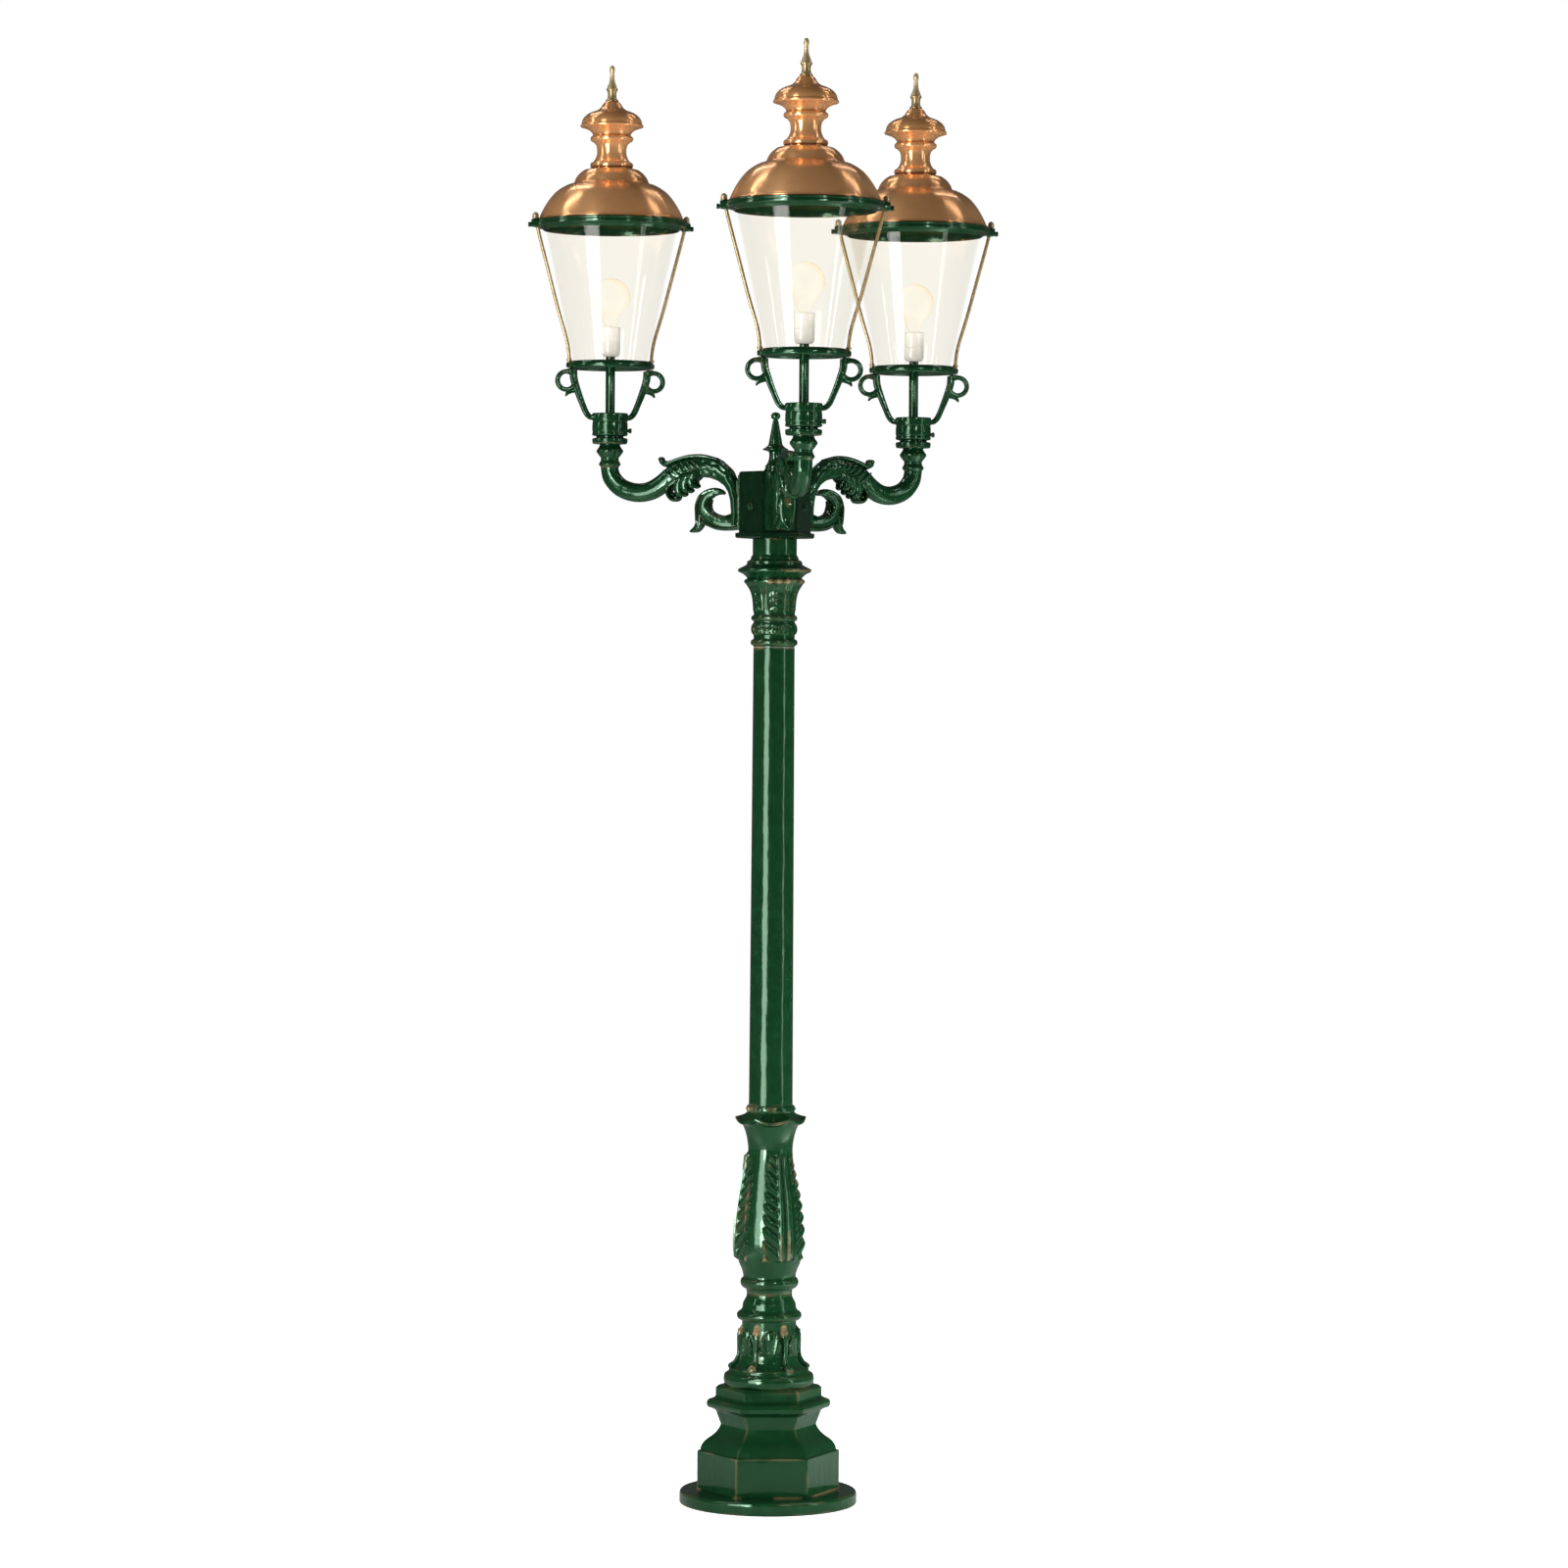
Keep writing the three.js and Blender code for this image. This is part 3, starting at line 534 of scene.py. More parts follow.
def bulb_glass():
    """Clear glass with a little haze, and painted warm light on its upper right side that is strongest toward
    its rim.
    """
    s = Shader("bulb_glass")
    facing = s.node("ShaderNodeLayerWeight", Blend=0.45).outputs["Facing"]
    # Painted warm light: the side that faces up, right and a little to the front gets a warm tint.
    lean = s.tree.nodes.new("ShaderNodeVectorMath")
    lean.operation = "DOT_PRODUCT"
    s.feed(lean.inputs[0], s.node("ShaderNodeNewGeometry").outputs["Normal"])
    lean.inputs[1].default_value = (0.75, -0.25, 0.6)
    lit_side = s.ramp(lean.outputs["Value"], 0.0, 0.9)
    painted_warm_light = s.math("MULTIPLY", lit_side, s.ramp(facing, 0.15, 0.75))
    tint = s.blend(painted_warm_light, (0.995, 0.985, 0.955, 1), (0.99, 0.88, 0.68, 1))
    through = s.node("ShaderNodeBsdfTransparent", Color=tint)
    frost = s.bump(s.noise(500, 2), 0.0001, 0.3)
    skin = s.node("ShaderNodeBsdfPrincipled", Base_Color=tint, Roughness=0.1, Normal=frost,
                  Emission_Color=tint, Emission_Strength=0.6, Coat_Weight=1.0, Coat_Roughness=0.03)
    share = s.math("MULTIPLY_ADD", facing, 0.09, 0.02)
    return s.surface(s.mixed(share, through.outputs["BSDF"], skin.outputs["BSDF"]))


def white_ceramic():
    s = Shader("white_ceramic")
    colour = s.blend(s.noise(30), (0.50, 0.485, 0.45, 1), (0.56, 0.545, 0.51, 1))
    # The emission is painted light: a faint glow that stands in for light bouncing onto the holder inside the
    # glass.
    return s.surface(principled(
        s, Base_Color=colour, Roughness=0.22, Coat_Weight=0.6, Normal=s.bump(s.noise(120, 2), 0.0002, 0.3),
        Emission_Color=(1.0, 0.97, 0.92, 1), Emission_Strength=0.36,
    ))


def dark_plastic():
    s = Shader("dark_plastic")
    grain = s.noise(900, 2)
    colour = s.blend(s.noise(25), (0.020, 0.022, 0.025, 1), (0.034, 0.036, 0.04, 1))
    return s.surface(principled(s, Base_Color=colour, Roughness=0.55, Normal=s.bump(grain, 0.0001, 0.5)))


PAINT = green_paint("green_paint", wear_share=0.85, wear_reach=0.0075)
ARM_PAINT = green_paint("green_paint_arms", wear_share=0.22, wear_reach=0.0035)
# The hub's paint is darkened 2.4 times: painted shade for its faces, which sit in the shadow of the arms and
# lanterns.
SHADED_HUB_PAINT = green_paint("green_paint_hub_shaded", wear_share=0.22, wear_reach=0.0035, depth=2.4)
COLLAR_PAINT = green_paint("green_paint_collar", wear_share=0.75, wear_reach=0.0055)
PAINTS = (PAINT, ARM_PAINT, SHADED_HUB_PAINT, COLLAR_PAINT)
COPPER = spun_metal(
    "spun_copper", dark=(0.74, 0.33, 0.125, 1), light=(0.98, 0.55, 0.25, 1), tarnish=(0.30, 0.095, 0.035, 1),
    roughness=0.22, rings=900)
BRASS = spun_metal(
    "turned_brass", dark=(0.38, 0.28, 0.13, 1), light=(0.68, 0.53, 0.29, 1), tarnish=(0.20, 0.12, 0.05, 1),
    roughness=0.26, rings=1500)
STEEL = steel()
GLASS = clear_glass()
BULB = bulb_glass()
CERAMIC = white_ceramic()
PLASTIC = dark_plastic()


# ---- pedestal

def base_flange():
    radius = (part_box("base_flange")[1].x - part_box("base_flange")[0].x) / 2 / MM
    high = top("base_flange")
    outline = Outline(0, 0).line(radius - 2, 0).line(radius, 2).line(radius, high - 9)
    outline.curve(radius, high, radius - 9, high).line(0, high)
    casting("foot_plate", revolve(outline, 160), PAINT, "base_flange")


def pedestal():
    corner = 173  # from the axis to its lowest corners
    wall = 12
    outline = Outline(corner - wall, 0).line(corner, 0).line(corner, 95).line(165.5, 97).line(165, 103)
    outline.curve(160, 117, 146, 126, 6).curve(124, 139, 116, 159, 8)
    outline.line(126, 186).curve(128, 196, 143, 199, 5)
    outline.bead(141, 222, 9, 8)
    outline.line(134, 225).curve(129, 226, 129, 231, 4).line(129, 249).line(121, 255.7)
    outline.line(COLUMN_BORE, 255.7).line(46, 230).line(100, 158).line(corner - wall, 87)
    shell = revolve(raised(outline, "pedestal"), CORNERS, closed=True, soften=0.8, turn=PEDESTAL_TURN)
    made = casting("pedestal_casting", shell, PAINT, "pedestal")
    cut_door_opening(made)
    eased(made, 1.8)


def cut_door_opening(made):
    """Cuts the doorway out of the wall, smaller all round than the door that covers it."""
    low, high = door_box()
    lip = 10
    knuckle = 13  # the hinge side of the door reaches this much further
    inner = (low.x + lip, low.y - 40, low.z + lip)
    outer = (high.x - lip - knuckle, high.y + 20, high.z - lip)
    cutter_shape = spun(block(inner, outer), PEDESTAL_TURN)
    cutter = bpy.data.objects.new("doorway", mesh_from("doorway", cutter_shape, PAINT))
    bpy.context.scene.collection.objects.link(cutter)
    cut = made.modifiers.new("doorway", "BOOLEAN")
    cut.object = cutter
    cut.operation = "DIFFERENCE"
    cut.solver = "EXACT"
    graph = bpy.context.evaluated_depsgraph_get()
    mesh = bpy.data.meshes.new_from_object(made.evaluated_get(graph))
    made.modifiers.remove(cut)
    made.data = mesh
    bpy.data.objects.remove(cutter)


def door_box():
    """The service door's corners in the pedestal's own turn, in millimetres."""
    back = Matrix.Rotation(-PEDESTAL_TURN, 3, "Z")
    points = [back @ v.co / MM for v in NODES["service_door"].data.vertices]
    low = Vector([min(p[i] for p in points) for i in range(3)])
    high = Vector([max(p[i] for p in points) for i in range(3)])
    return low, high


def keep_cad(node, material, width):
    """A CAD node whose shape is right: it gets a material and eased edges."""
    made = NODES[node]
    made.data.materials.clear()
    made.data.materials.append(material)
    made.data.polygons.foreach_set("use_smooth", [True] * len(made.data.polygons))
    made.data.set_sharp_from_angle(angle=math.radians(SHARP_DEGREES))
    eased(made, width)


# ---- column castings

def leaf_field(angle, height, bottom, tip, count, lobes, lift, share=1.0):
    """Acanthus leaves round the axis, growing from bottom to tip, each as wide as a share of its sector."""
    v = np.clip((height - bottom) / (tip - bottom), 0, 1)
    sector = 2 * math.pi / count
    side = np.abs(((angle / sector + 0.5) % 1.0 - 0.5) * 2) / share  # 0 on the mid rib, 1 at the leaf's edge
    lobe = np.abs(np.sin(math.pi * lobes * (v ** 1.25 - 0.17 * side))) ** 0.6
    edge = 1 - 0.14 * (1 - lobe) - 0.3 * v ** 7
    inside = np.clip((edge - side) / 0.05, 0, 1)
    fold = 0.30  # a ridge along each half of the leaf, outside which it breaks into lobes
    gap = (1 - lobe) * np.clip((side - fold - 0.03) / 0.1, 0, 1)
    blade = 0.45 + 0.40 * np.exp(-((side - fold) / 0.05) ** 2) + 0.50 * np.clip((side - 0.70) / 0.3, 0, 1)
    rib = np.clip((0.08 - side) / 0.025, 0, 1)
    ends = np.clip(np.minimum((height - bottom) / 8, (tip - height) / 10), 0, 1)
    return lift * ends * inside * (np.maximum(blade, 0.95 * rib) - 0.8 * gap)


def collar():
    outline = Outline(COLUMN_BORE, 0).line(105, 0).bead(105, 28, 5).line(98, 33).line(97, 38)
    outline.line(95, 42).curve(80, 46, 73, 60).curve(68, 78, 69, 116).line(66, 134)
    outline.line(66, 144).line(66, 158).bead(70, 180, 11).line(66, 186).line(64, 199)
    outline.line(56, 214).line(55, 222.7).line(COLUMN_BORE, 222.7)
    raised(outline, "leaf_collar")
    base = foot("leaf_collar")

    def panels(angle, height):
        """A scallop shell in the panel between each pair of consoles, over a plain hollow."""
        v = (height - base - 76) / 60
        u = ((angle / (2 * math.pi / CORNERS)) % 1.0 - 0.5) * 2
        flutes = np.abs(np.cos(5.0 * np.arctan2(u, v + 0.25))) ** 0.7
        reach = np.hypot(u * 1.25, v - 0.05)
        mask = np.clip((1.0 - reach) / 0.10, 0, 1) * np.clip(v / 0.10, 0, 1)
        return 7.5 * mask * (0.25 + 0.75 * flutes) * (0.55 + 0.45 * reach)

    body = revolve(outline, 240, relief=panels, closed=True, step=2.5, turn=PEDESTAL_TURN)
    console_line = [
        (60, 148), (66, 136), (70, 122), (71, 100), (71, 80), (74, 66), (83, 53), (93, 46), (96, 41),
    ]
    console_line = [(x, z + base) for x, z in console_line]
    console = sweep(console_line, [3, 6, 8, 7, 7, 7, 6, 6, 5], [5, 8, 9, 6, 6, 7, 8, 9, 8], 44, 16, 0.6)
    volutes = together(
        ball((92, 0, 45 + base), (8, 10, 7), 16),
        ball((92, 0, 45 + base), (4, 13, 4), 12),
        ball((68, 0, 132 + base), (9, 11, 6), 14))
    consoles = round_about(together(console, volutes), CORNERS, PEDESTAL_TURN)
    casting("collar_casting", together(body, consoles), COLLAR_PAINT, "leaf_collar")


def baluster():
    outline = Outline(COLUMN_BORE, 0).line(55, 0).line(57, 12).bead(64, 38, 10).line(64, 44)
    outline.curve(66, 56, 73, 70).curve(80, 88, 80.5, 126, 10).curve(80, 180, 67, 252, 12)
    outline.curve(54, 316, 54, 352, 10).curve(56, 386, 68, 410, 8).curve(76, 422, 83, 425, 6)
    outline.line(83, 430).curve(74, 431, 62, 436).line(56, 441).bead(56, 456.7, 3).line(COLUMN_BORE, 456.7)
    raised(outline, "baluster")
    base = foot("baluster")
    first_leaf = math.radians(59)

    def leaves(angle, height):
        """Three tall leaves, and a small point on the rim above each corner."""
        local = height - base
        rim = np.exp(-((local - 428) / 10) ** 2)
        point = (1 - np.abs(np.sin(CORNERS / 2 * angle))) ** 2
        leaf = leaf_field(angle - first_leaf, local, 80, 344, 3, 9, 10.0, 0.76)
        return leaf + 3 * rim * point

    def lip(angle, height):
        """The flared rim hangs down between its points."""
        return 11 * np.abs(np.sin(CORNERS / 2 * angle)) * np.exp(-((height - base - 426) / 12) ** 2)

    body = revolve(outline, 360, relief=leaves, sag=lip, closed=True, step=1.8, turn=PEDESTAL_TURN)
    pearl = ball((57, 0, base + 449), (4.2, 4.2, 4.2), 10)
    casting("baluster_casting", together(body, round_about(pearl, 24)), PAINT, "baluster")


def shaft():
    low, high = foot("shaft"), top("shaft")
    length = high - low
    outline = Outline(COLUMN_BORE, 0).line(53.5, 0).line(53, 14).line(50, length - 4).line(50, length)
    outline.line(COLUMN_BORE, length)
    casting("shaft_tube", revolve(raised(outline, "shaft"), 128, closed=True, step=60), PAINT, "shaft")


def capital():
    outline = Outline(COLUMN_BORE, 0).line(50, 0).line(50, 4).bead(50, 20, 7).line(50, 30)
    outline.line(53.5, 33).line(53.5, 56).line(50, 60).line(50, 64).bead(50, 78, 6)
    outline.line(50, 96).curve(51, 128, 60, 142, 8).curve(64, 150, 74, 158, 6).line(73, 163)
    outline.line(66, 167).curve(72, 177, 86, 182, 6).bead(86, 191, 3, 6).curve(76, 196, 68, 200, 6)
    outline.line(66, 209).line(59, 212).line(57, 219).line(53.5, 224).line(53.5, 263.7)
    outline.line(COLUMN_BORE, 263.7)
    raised(outline, "capital")
    base = foot("capital")

    def relief(angle, height):
        local = height - base
        band = np.clip(np.minimum(local - 33, 56 - local) / 3, 0, 1)
        leaf = leaf_field(angle, local, 32, 58, 8, 2, 3.0) * band
        bell = leaf_field(angle, local, 84, 158, CORNERS, 4, 2.2)
        return leaf + bell

    body = revolve(outline, 240, relief=relief, closed=True, step=2.2, turn=PEDESTAL_TURN)
    pearl = ball((69, 0, base + 160), (3.4, 3.4, 3.4), 10)
    casting("capital_casting", together(body, round_about(pearl, 20)), PAINT, "capital")


def hub():
    """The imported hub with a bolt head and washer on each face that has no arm."""
    # Its faces take the darkened paint: painted shade.
    keep_cad("hub", SHADED_HUB_PAINT, 1.6)
    height = (foot("hub") + top("hub")) / 2 - 6
    outline = Outline(0, HUB_FACE - 1).line(9.5, HUB_FACE - 1).line(9.5, HUB_FACE + 1.6)
    outline.line(6.5, HUB_FACE + 2).line(6.5, HUB_FACE + 6).line(5, HUB_FACE + 7.5).line(0, HUB_FACE + 7.5)
    place = Matrix.Translation((0, 0, height * MM)) @ Matrix.Rotation(math.pi / 2, 4, "Y")
    head = moved(revolve(outline, 24, soften=0.5), place)
    for index in range(3):
        turn = arm_turn("front") + math.pi / 3 + index * 2 * math.pi / 3
        casting(f"hub_bolt_{index + 1}", spun(head, turn), ARM_PAINT)


def hub_finial():
    outline = Outline(0, 0).line(27, 0).line(27, 5).line(24.5, 7).line(24.5, 14)
    outline.curve(14, 24, 15, 44).line(16, 48)
    outline.curve(23, 51, 31, 52.5).line(31, 55).curve(22, 58, 17, 66).line(7, 122).line(5, 126)
    outline.bead(0, 143.4, 9, 12)
    casting("hub_spike", revolve(raised(outline, "hub_finial"), 48), ARM_PAINT, "hub_finial")


# ---- arms

ARM_LINE = [
    (101, 2374), (101, 2420), (107, 2458), (124, 2491), (154, 2512), (184, 2518), (214, 2517), (238, 2512),
    (260, 2503), (280, 2489), (301, 2473), (326, 2460), (355, 2455), (384, 2459), (410, 2471), (430, 2493),
    (436, 2514), (436, 2522),
]


def arm_bar():
    """The S-shaped bar: veined like a leaf stalk over the arch, and plain where it turns up."""
    def veins(t, angle):
        fade = np.clip((0.60 - t) / 0.2, 0, 1)
        return 1 + 0.042 * fade * np.cos(8 * angle + 0.6 * np.sin(2 * math.pi * 21 * t))

    depth = [12, 12.5, 14, 21, 25, 25.5, 24.5, 24, 23.5, 23, 23, 23, 23, 23, 22.5, 22, 21.2, 20.8]
    width = [18, 18, 19, 21, 22, 22, 22, 22, 22, 22, 22, 22, 22, 22, 22, 22, 21.2, 20.8]
    return sweep(ARM_LINE, depth, width, 210, 56, 0.92, veins)


def arm_scroll():
    """The C-scroll below the arm: a thick crescent with a raised rim and a pointed toe."""
    crescent_line = [
        (90, 2382), (122, 2380), (154, 2386), (178, 2402), (187, 2422), (179, 2443), (160, 2454), (143, 2455),
        (131, 2452),
    ]
    crescent = sweep(
        crescent_line, [18, 18, 18, 18, 17, 15, 10, 6, 3], [15, 15, 15, 14, 14, 13, 12, 9, 5], 72, 24, 0.8)
    rim_line = [
        (196, 2368), (199, 2384), (200, 2404), (200, 2424), (191, 2445), (173, 2457), (155, 2461),
        (140, 2458), (130, 2452),
    ]
    rim = sweep(
        rim_line, [5, 6, 5.5, 5.5, 6, 6, 5.5, 4.5, 2.5], [12, 17, 19, 19, 19, 18, 16, 12, 5], 66, 20, 0.8)
    keel = sweep([(88, 2372), (118, 2367), (148, 2369), (172, 2377), (188, 2382)],
                 [5, 5, 5.5, 5, 4], [17, 19, 19, 17, 12], 40, 20, 0.8)
    toe_line = [(192, 2400), (194, 2382), (203, 2368), (222, 2360)]
    toe = sweep(toe_line, [10, 13, 11, 2.5], [15, 14, 11, 3], 30, 18)
    eye_line = [(112, 2401), (128, 2396), (146, 2397), (162, 2405), (170, 2421), (164, 2437)]
    eye_rim = sweep(eye_line, [2.5, 3, 3.2, 3, 3, 1.5], [16, 18, 18, 17, 17, 8], 44, 16)
    return together(crescent, rim, keel, toe, eye_rim)


def lobe(line, thick, wide):
    """One rounded lobe of a leaf, along a line of (distance, offset, height)."""
    return sweep(line, thick, wide, 22, 14, 0.9)


def arm_leaf():
    """Acanthus over the arch: lobes that hang below it, a volute at their end, feathers, and a rolled tip."""
    parts = []
    hanging = [(206, 2470), (222, 2459), (238, 2450)]
    for index, (end_x, end_z) in enumerate(hanging):
        root_x = 190 + 18 * index
        for side in (-1, 1):
            outer = [
                (root_x, side * 12, 2514 - 4 * index), (root_x + 16, side * 20, 2496 - 6 * index),
                (end_x + 10, side * 19, end_z + 18), (end_x + 6, side * 15, end_z + 3),
                (end_x - 4, side * 10, end_z + 1),
            ]
            parts.append(lobe(outer, [7, 10, 10.5, 9, 4], [6, 8, 8.5, 8, 5]))
        parts.append(lobe(
            [(root_x + 8, 0, 2500 - 5 * index), (end_x + 8, 0, end_z + 20), (end_x + 2, 0, end_z + 4)],
            [9, 11, 7], [12, 13, 9]))
    volute = [
        (236, 2490), (258, 2482), (274, 2468), (277, 2452), (268, 2439), (256, 2438), (251, 2447),
        (258, 2455),
    ]
    parts.append(sweep(
        volute, [8, 8, 6.5, 5.5, 5, 4.5, 4, 3], [14, 19, 20, 20, 19, 18, 17, 16], 52, 20, 0.8))
    parts.append(ball((262, 0, 2450), (6, 21, 6), 16))
    for side in (-1, 1):
        for step in range(6):
            x = 196 + 15 * step
            z = 2524 - 0.9 * step ** 2
            parts.append(lobe(
                [(x - 16, side * 19, z - 13), (x, side * 23, z - 4), (x + 14, side * 20, z + 7)],
                [2.5, 5.5, 2], [2.5, 4, 2]))
    curl = [(150, 2536), (190, 2543), (226, 2541), (256, 2533), (278, 2525), (292, 2527), (300, 2538)]
    parts.append(sweep(curl, [3, 5, 6, 6.5, 7.5, 7, 5], [10, 15, 17, 18, 18, 17, 14], 48, 30, 1.0, scalloped))
    parts.append(ball((298, 0, 2536), (6.5, 17, 6.5), 16))
    return together(*parts)


def scalloped(t, angle):
    """Six shallow flutes that fade out toward the root of the tip."""
    return 1 + 0.06 * np.cos(6 * angle) * np.clip(t / 0.3, 0, 1)


def arm_foot():
    """The plate that is held to the hub's face, with a stalk up its middle."""
    low = foot("hub") + 18.5
    high = top("hub") - 2.5
    pad = block((HUB_FACE + 0.3, -35.5, low), (HUB_FACE + 4, 35.5, high))
    stalk = block((HUB_FACE + 3, -21, low + 5), (HUB_FACE + 13, 21, high - 5))
    rib_line = [(HUB_FACE + 13, 2372), (HUB_FACE + 17, 2430), (HUB_FACE + 20, 2484)]
    rib = sweep(rib_line, [8, 9, 7], [13, 14, 11], 20, 18)
    return together(pad, stalk, rib)


def arm_end():
    """The turned end under the lantern, with the spigot that goes up inside its socket."""
    outline = Outline(0, 2517).line(21.5, 2517).line(24.5, 2521).line(27.2, 2525).line(24.5, 2530)
    outline.line(22, 2535).line(22, 2541).line(27, 2547).line(32.8, 2555).line(32.8, 2559).line(27, 2567)
    outline.line(25, 2572).line(25, 2574).line(40, 2574.6).line(42.5, 2576).line(42.5, 2577.7)
    outline.line(29, 2577.7).line(29, 2632).line(8, 2632).line(8, 2600).line(0, 2600)
    shape = revolve(outline, 64, step=3)
    return moved(shape, Matrix.Translation((ARM_REACH * MM, 0, 0)))


def arms():
    shape = together(arm_bar(), arm_scroll(), arm_leaf(), arm_foot(), arm_end())
    mesh = mesh_from("arm_casting", shape, ARM_PAINT)
    for side in SIDES:
        matrix = Matrix.Rotation(arm_turn(side), 4, "Z")
        piece(f"arm_casting_{side}", mesh, "post", [f"arm_{side}"], matrix)


# ---- lanterns

def fork_shape():
    """The socket on the arm's spigot, with a bracket on either side that ends in an open eye."""
    outline = Outline(29.6, 2578).line(42.5, 2578).line(43.4, 2580).line(43.4, 2586.5).line(42, 2588.5)
    outline.line(33.5, 2590).line(33.5, 2593.5).line(42, 2595).line(43.6, 2597).line(43.6, 2601)
    outline.line(42.6, 2602).line(42.6, 2606).line(43.6, 2607).line(43.4, 2626).line(42.2, 2627)
    outline.line(42.2, 2630)
    outline.line(43.4, 2631).line(44, 2640).line(44, 2648).line(42.5, 2650).line(11.8, 2650)
    outline.line(11.8, 2635).line(29.6, 2635)
    socket = revolve(outline, 80, closed=True, soften=0.6)
    stem = [(38, 2639), (50, 2640), (60, 2650), (70, 2672), (81, 2700), (91, 2730), (93, 2753)]
    bar = sweep(stem, [6, 6.5, 7, 7, 8, 9, 9], [7, 7, 7.5, 7.5, 7.5, 7.5, 7.5], 44, 20, 0.55)
    eye_line = []
    eye_radius = 22
    for degrees in range(-150, 201, 14):
        turn = math.radians(degrees)
        eye_line.append((110.5 + eye_radius * math.cos(turn), 2728 + eye_radius * math.sin(turn)))
    eye = sweep(eye_line, [5.8], [7.5], 60, 18, 0.7)
    crest_line = [(88, 2748), (96, 2752), (108, 2752), (119, 2747)]
    crest = sweep(crest_line, [6, 5, 4.5, 3], [7, 7, 6.5, 5], 16, 16, 0.6)
    nib_line = [(86, 2704), (97, 2703), (107, 2698), (112, 2690)]
    nib = sweep(nib_line, [5, 6, 5, 2], [6, 6, 5, 3], 16, 14, 0.7)
    bracket = together(bar, eye, crest, nib)
    return together(socket, bracket, spun(bracket, math.pi))


def conduit_shape():
    low = foot("conduit_front")
    high = top("conduit_front")
    outline = Outline(8, low).line(11.5, low).line(11.5, high - 10).line(11.2, high - 9).line(11.2, high)
    outline.line(8, high)
    return revolve(outline, 40, closed=True, soften=0.5)


def gallery_shape():
    outline = Outline(11.8, 2762).line(84, 2762).line(87, 2757.5).line(98, 2757.5)
    outline.curve(104, 2759, 104, 2764, 5).line(104, 2768).curve(102, 2773, 99, 2776, 4).line(95, 2776)
    outline.line(94, 2774).line(94, 2767).line(11.8, 2767)
    ring = revolve(outline, 96, closed=True, soften=0.8)
    lug = sweep([(92, 2766), (101, 2766), (110, 2766)], [7, 7, 5.5], [8, 8, 6], 8, 20, 0.6)
    nut = Outline(11.8, 2767.3).line(17, 2767.3).line(17, 2774).line(15.5, 2776).line(11.8, 2776)
    return together(ring, lug, spun(lug, math.pi), revolve(nut, 6, closed=True, soften=0.5))


def rod_shape():
    """A rod bent to the glass's slope, with a ferrule on the gallery and a domed nut on the ring's lug."""
    foot_reach = 104
    head_reach = 190
    radius = 4.2
    line = [
        (foot_reach, 2758), (foot_reach, 2775), (104.5, 2792), (111, 2830), (132, 2900), (156, 2990),
        (180, 3080), (head_reach, 3124),
    ]
    rod = sweep(line, [radius], [radius], 48, 16)
    seat = RING_TOP + 2.3
    nut = Outline(0, seat).line(8.8, seat).line(8.8, seat + 1.6).line(7.6, seat + 2).line(7.6, seat + 7)
    nut.curve(7, seat + 14, 0, seat + 15.5, 8)
    dome = moved(revolve(nut, 32, soften=0.5), Matrix.Translation((head_reach * MM, 0, 0)))
    ferrule_outline = Outline(0, 2776.3).line(6.5, 2776.3).line(6.5, 2781).line(0, 2782)
    ferrule = moved(revolve(ferrule_outline, 24, soften=0.5), Matrix.Translation((foot_reach * MM, 0, 0)))
    return together(rod, dome, ferrule)


def glass_shape():
    outline = Outline(87, 2767.3).line(91, 2767.3).line(162, 3099).line(161.5, 3100).line(158.5, 3100)
    outline.line(158, 3099)
    return revolve(outline, 128, closed=True, soften=0.3)


def top_ring_shape():
    """The band round the glass's top, with a collar inside the hood and a lug for each rod."""
    outline = Outline(164, 3096).line(166.5, 3096).line(171, 3103).line(184, 3103.5).line(186, 3105.5)
    outline.line(186, 3111).line(184.6, 3112).line(184.6, 3114).line(186, 3115).line(186, RING_TOP)
    outline.line(166, RING_TOP).line(165, 3134).line(163, 3134).line(163, 3105)
    ring = revolve(outline, 144, closed=True, soften=0.8)
    lug_root = 180  # clear of the hood's brim, which reaches out to 178.5
    lug_line = [(lug_root, 3110), (188, 3110), (199, 3110)]
    lug = sweep(lug_line, [11, 11, 9.5], [11, 10.5, 8.5], 10, 24, 0.5)
    return together(ring, lug, spun(lug, math.pi))


def hood_shape():
    """The lower copper dome and the smaller one on it; its brim stands 0.3 mm clear of the ring."""
    brim = RING_TOP + 0.3
    outline = Outline(170, brim).line(176, brim).curve(178.5, 3120, 178.5, 3122, 3)
    outline.curve(178.5, 3124.5, 176, 3125, 3).line(175.5, 3128)
    outline.curve(161, 3163, 138, 3187, 12).curve(122, 3201, 104, 3208, 8)
    outline.line(98, 3208.5).line(92, 3212).line(91, 3214).curve(86, 3232, 66, 3244, 10).line(58, 3246)
    outline.line(30, 3246).line(30, 3243).line(62, 3242).curve(80, 3230, 86, 3208, 5)
    outline.curve(146, 3184, 172, 3127, 8).line(170, 3123)
    return revolve(outline, 144, closed=True, soften=0.6, step=4)


def crown_shape():
    outline = Outline(30, 3246.3).line(49, 3246.3).line(49, 3249).bead(49, 3262, 3.5, 8).line(45, 3264)
    outline.curve(38, 3272, 36, 3284, 6).curve(35, 3298, 39, 3306, 6).line(44, 3311).line(46, 3313)
    outline.bead(47, 3327, 6, 8).line(46, 3330).curve(50, 3340, 65, 3345.5, 5)
    outline.line(75.5, 3348.5).bead(76, 3354.5, 1.4, 6).line(74, 3356)
    outline.curve(74, 3370, 60, 3379.5, 9).curve(52, 3385, 41, 3388, 5).curve(29, 3392, 24, 3402, 6)
    outline.curve(21, 3408, 16, 3411, 5).line(14.5, 3412).line(5.4, 3412).line(5.4, 3404)
    outline.line(20, 3390).line(58, 3362).line(58, 3353).line(34, 3316).line(32, 3282)
    return revolve(outline, 112, closed=True, soften=0.7, step=3)


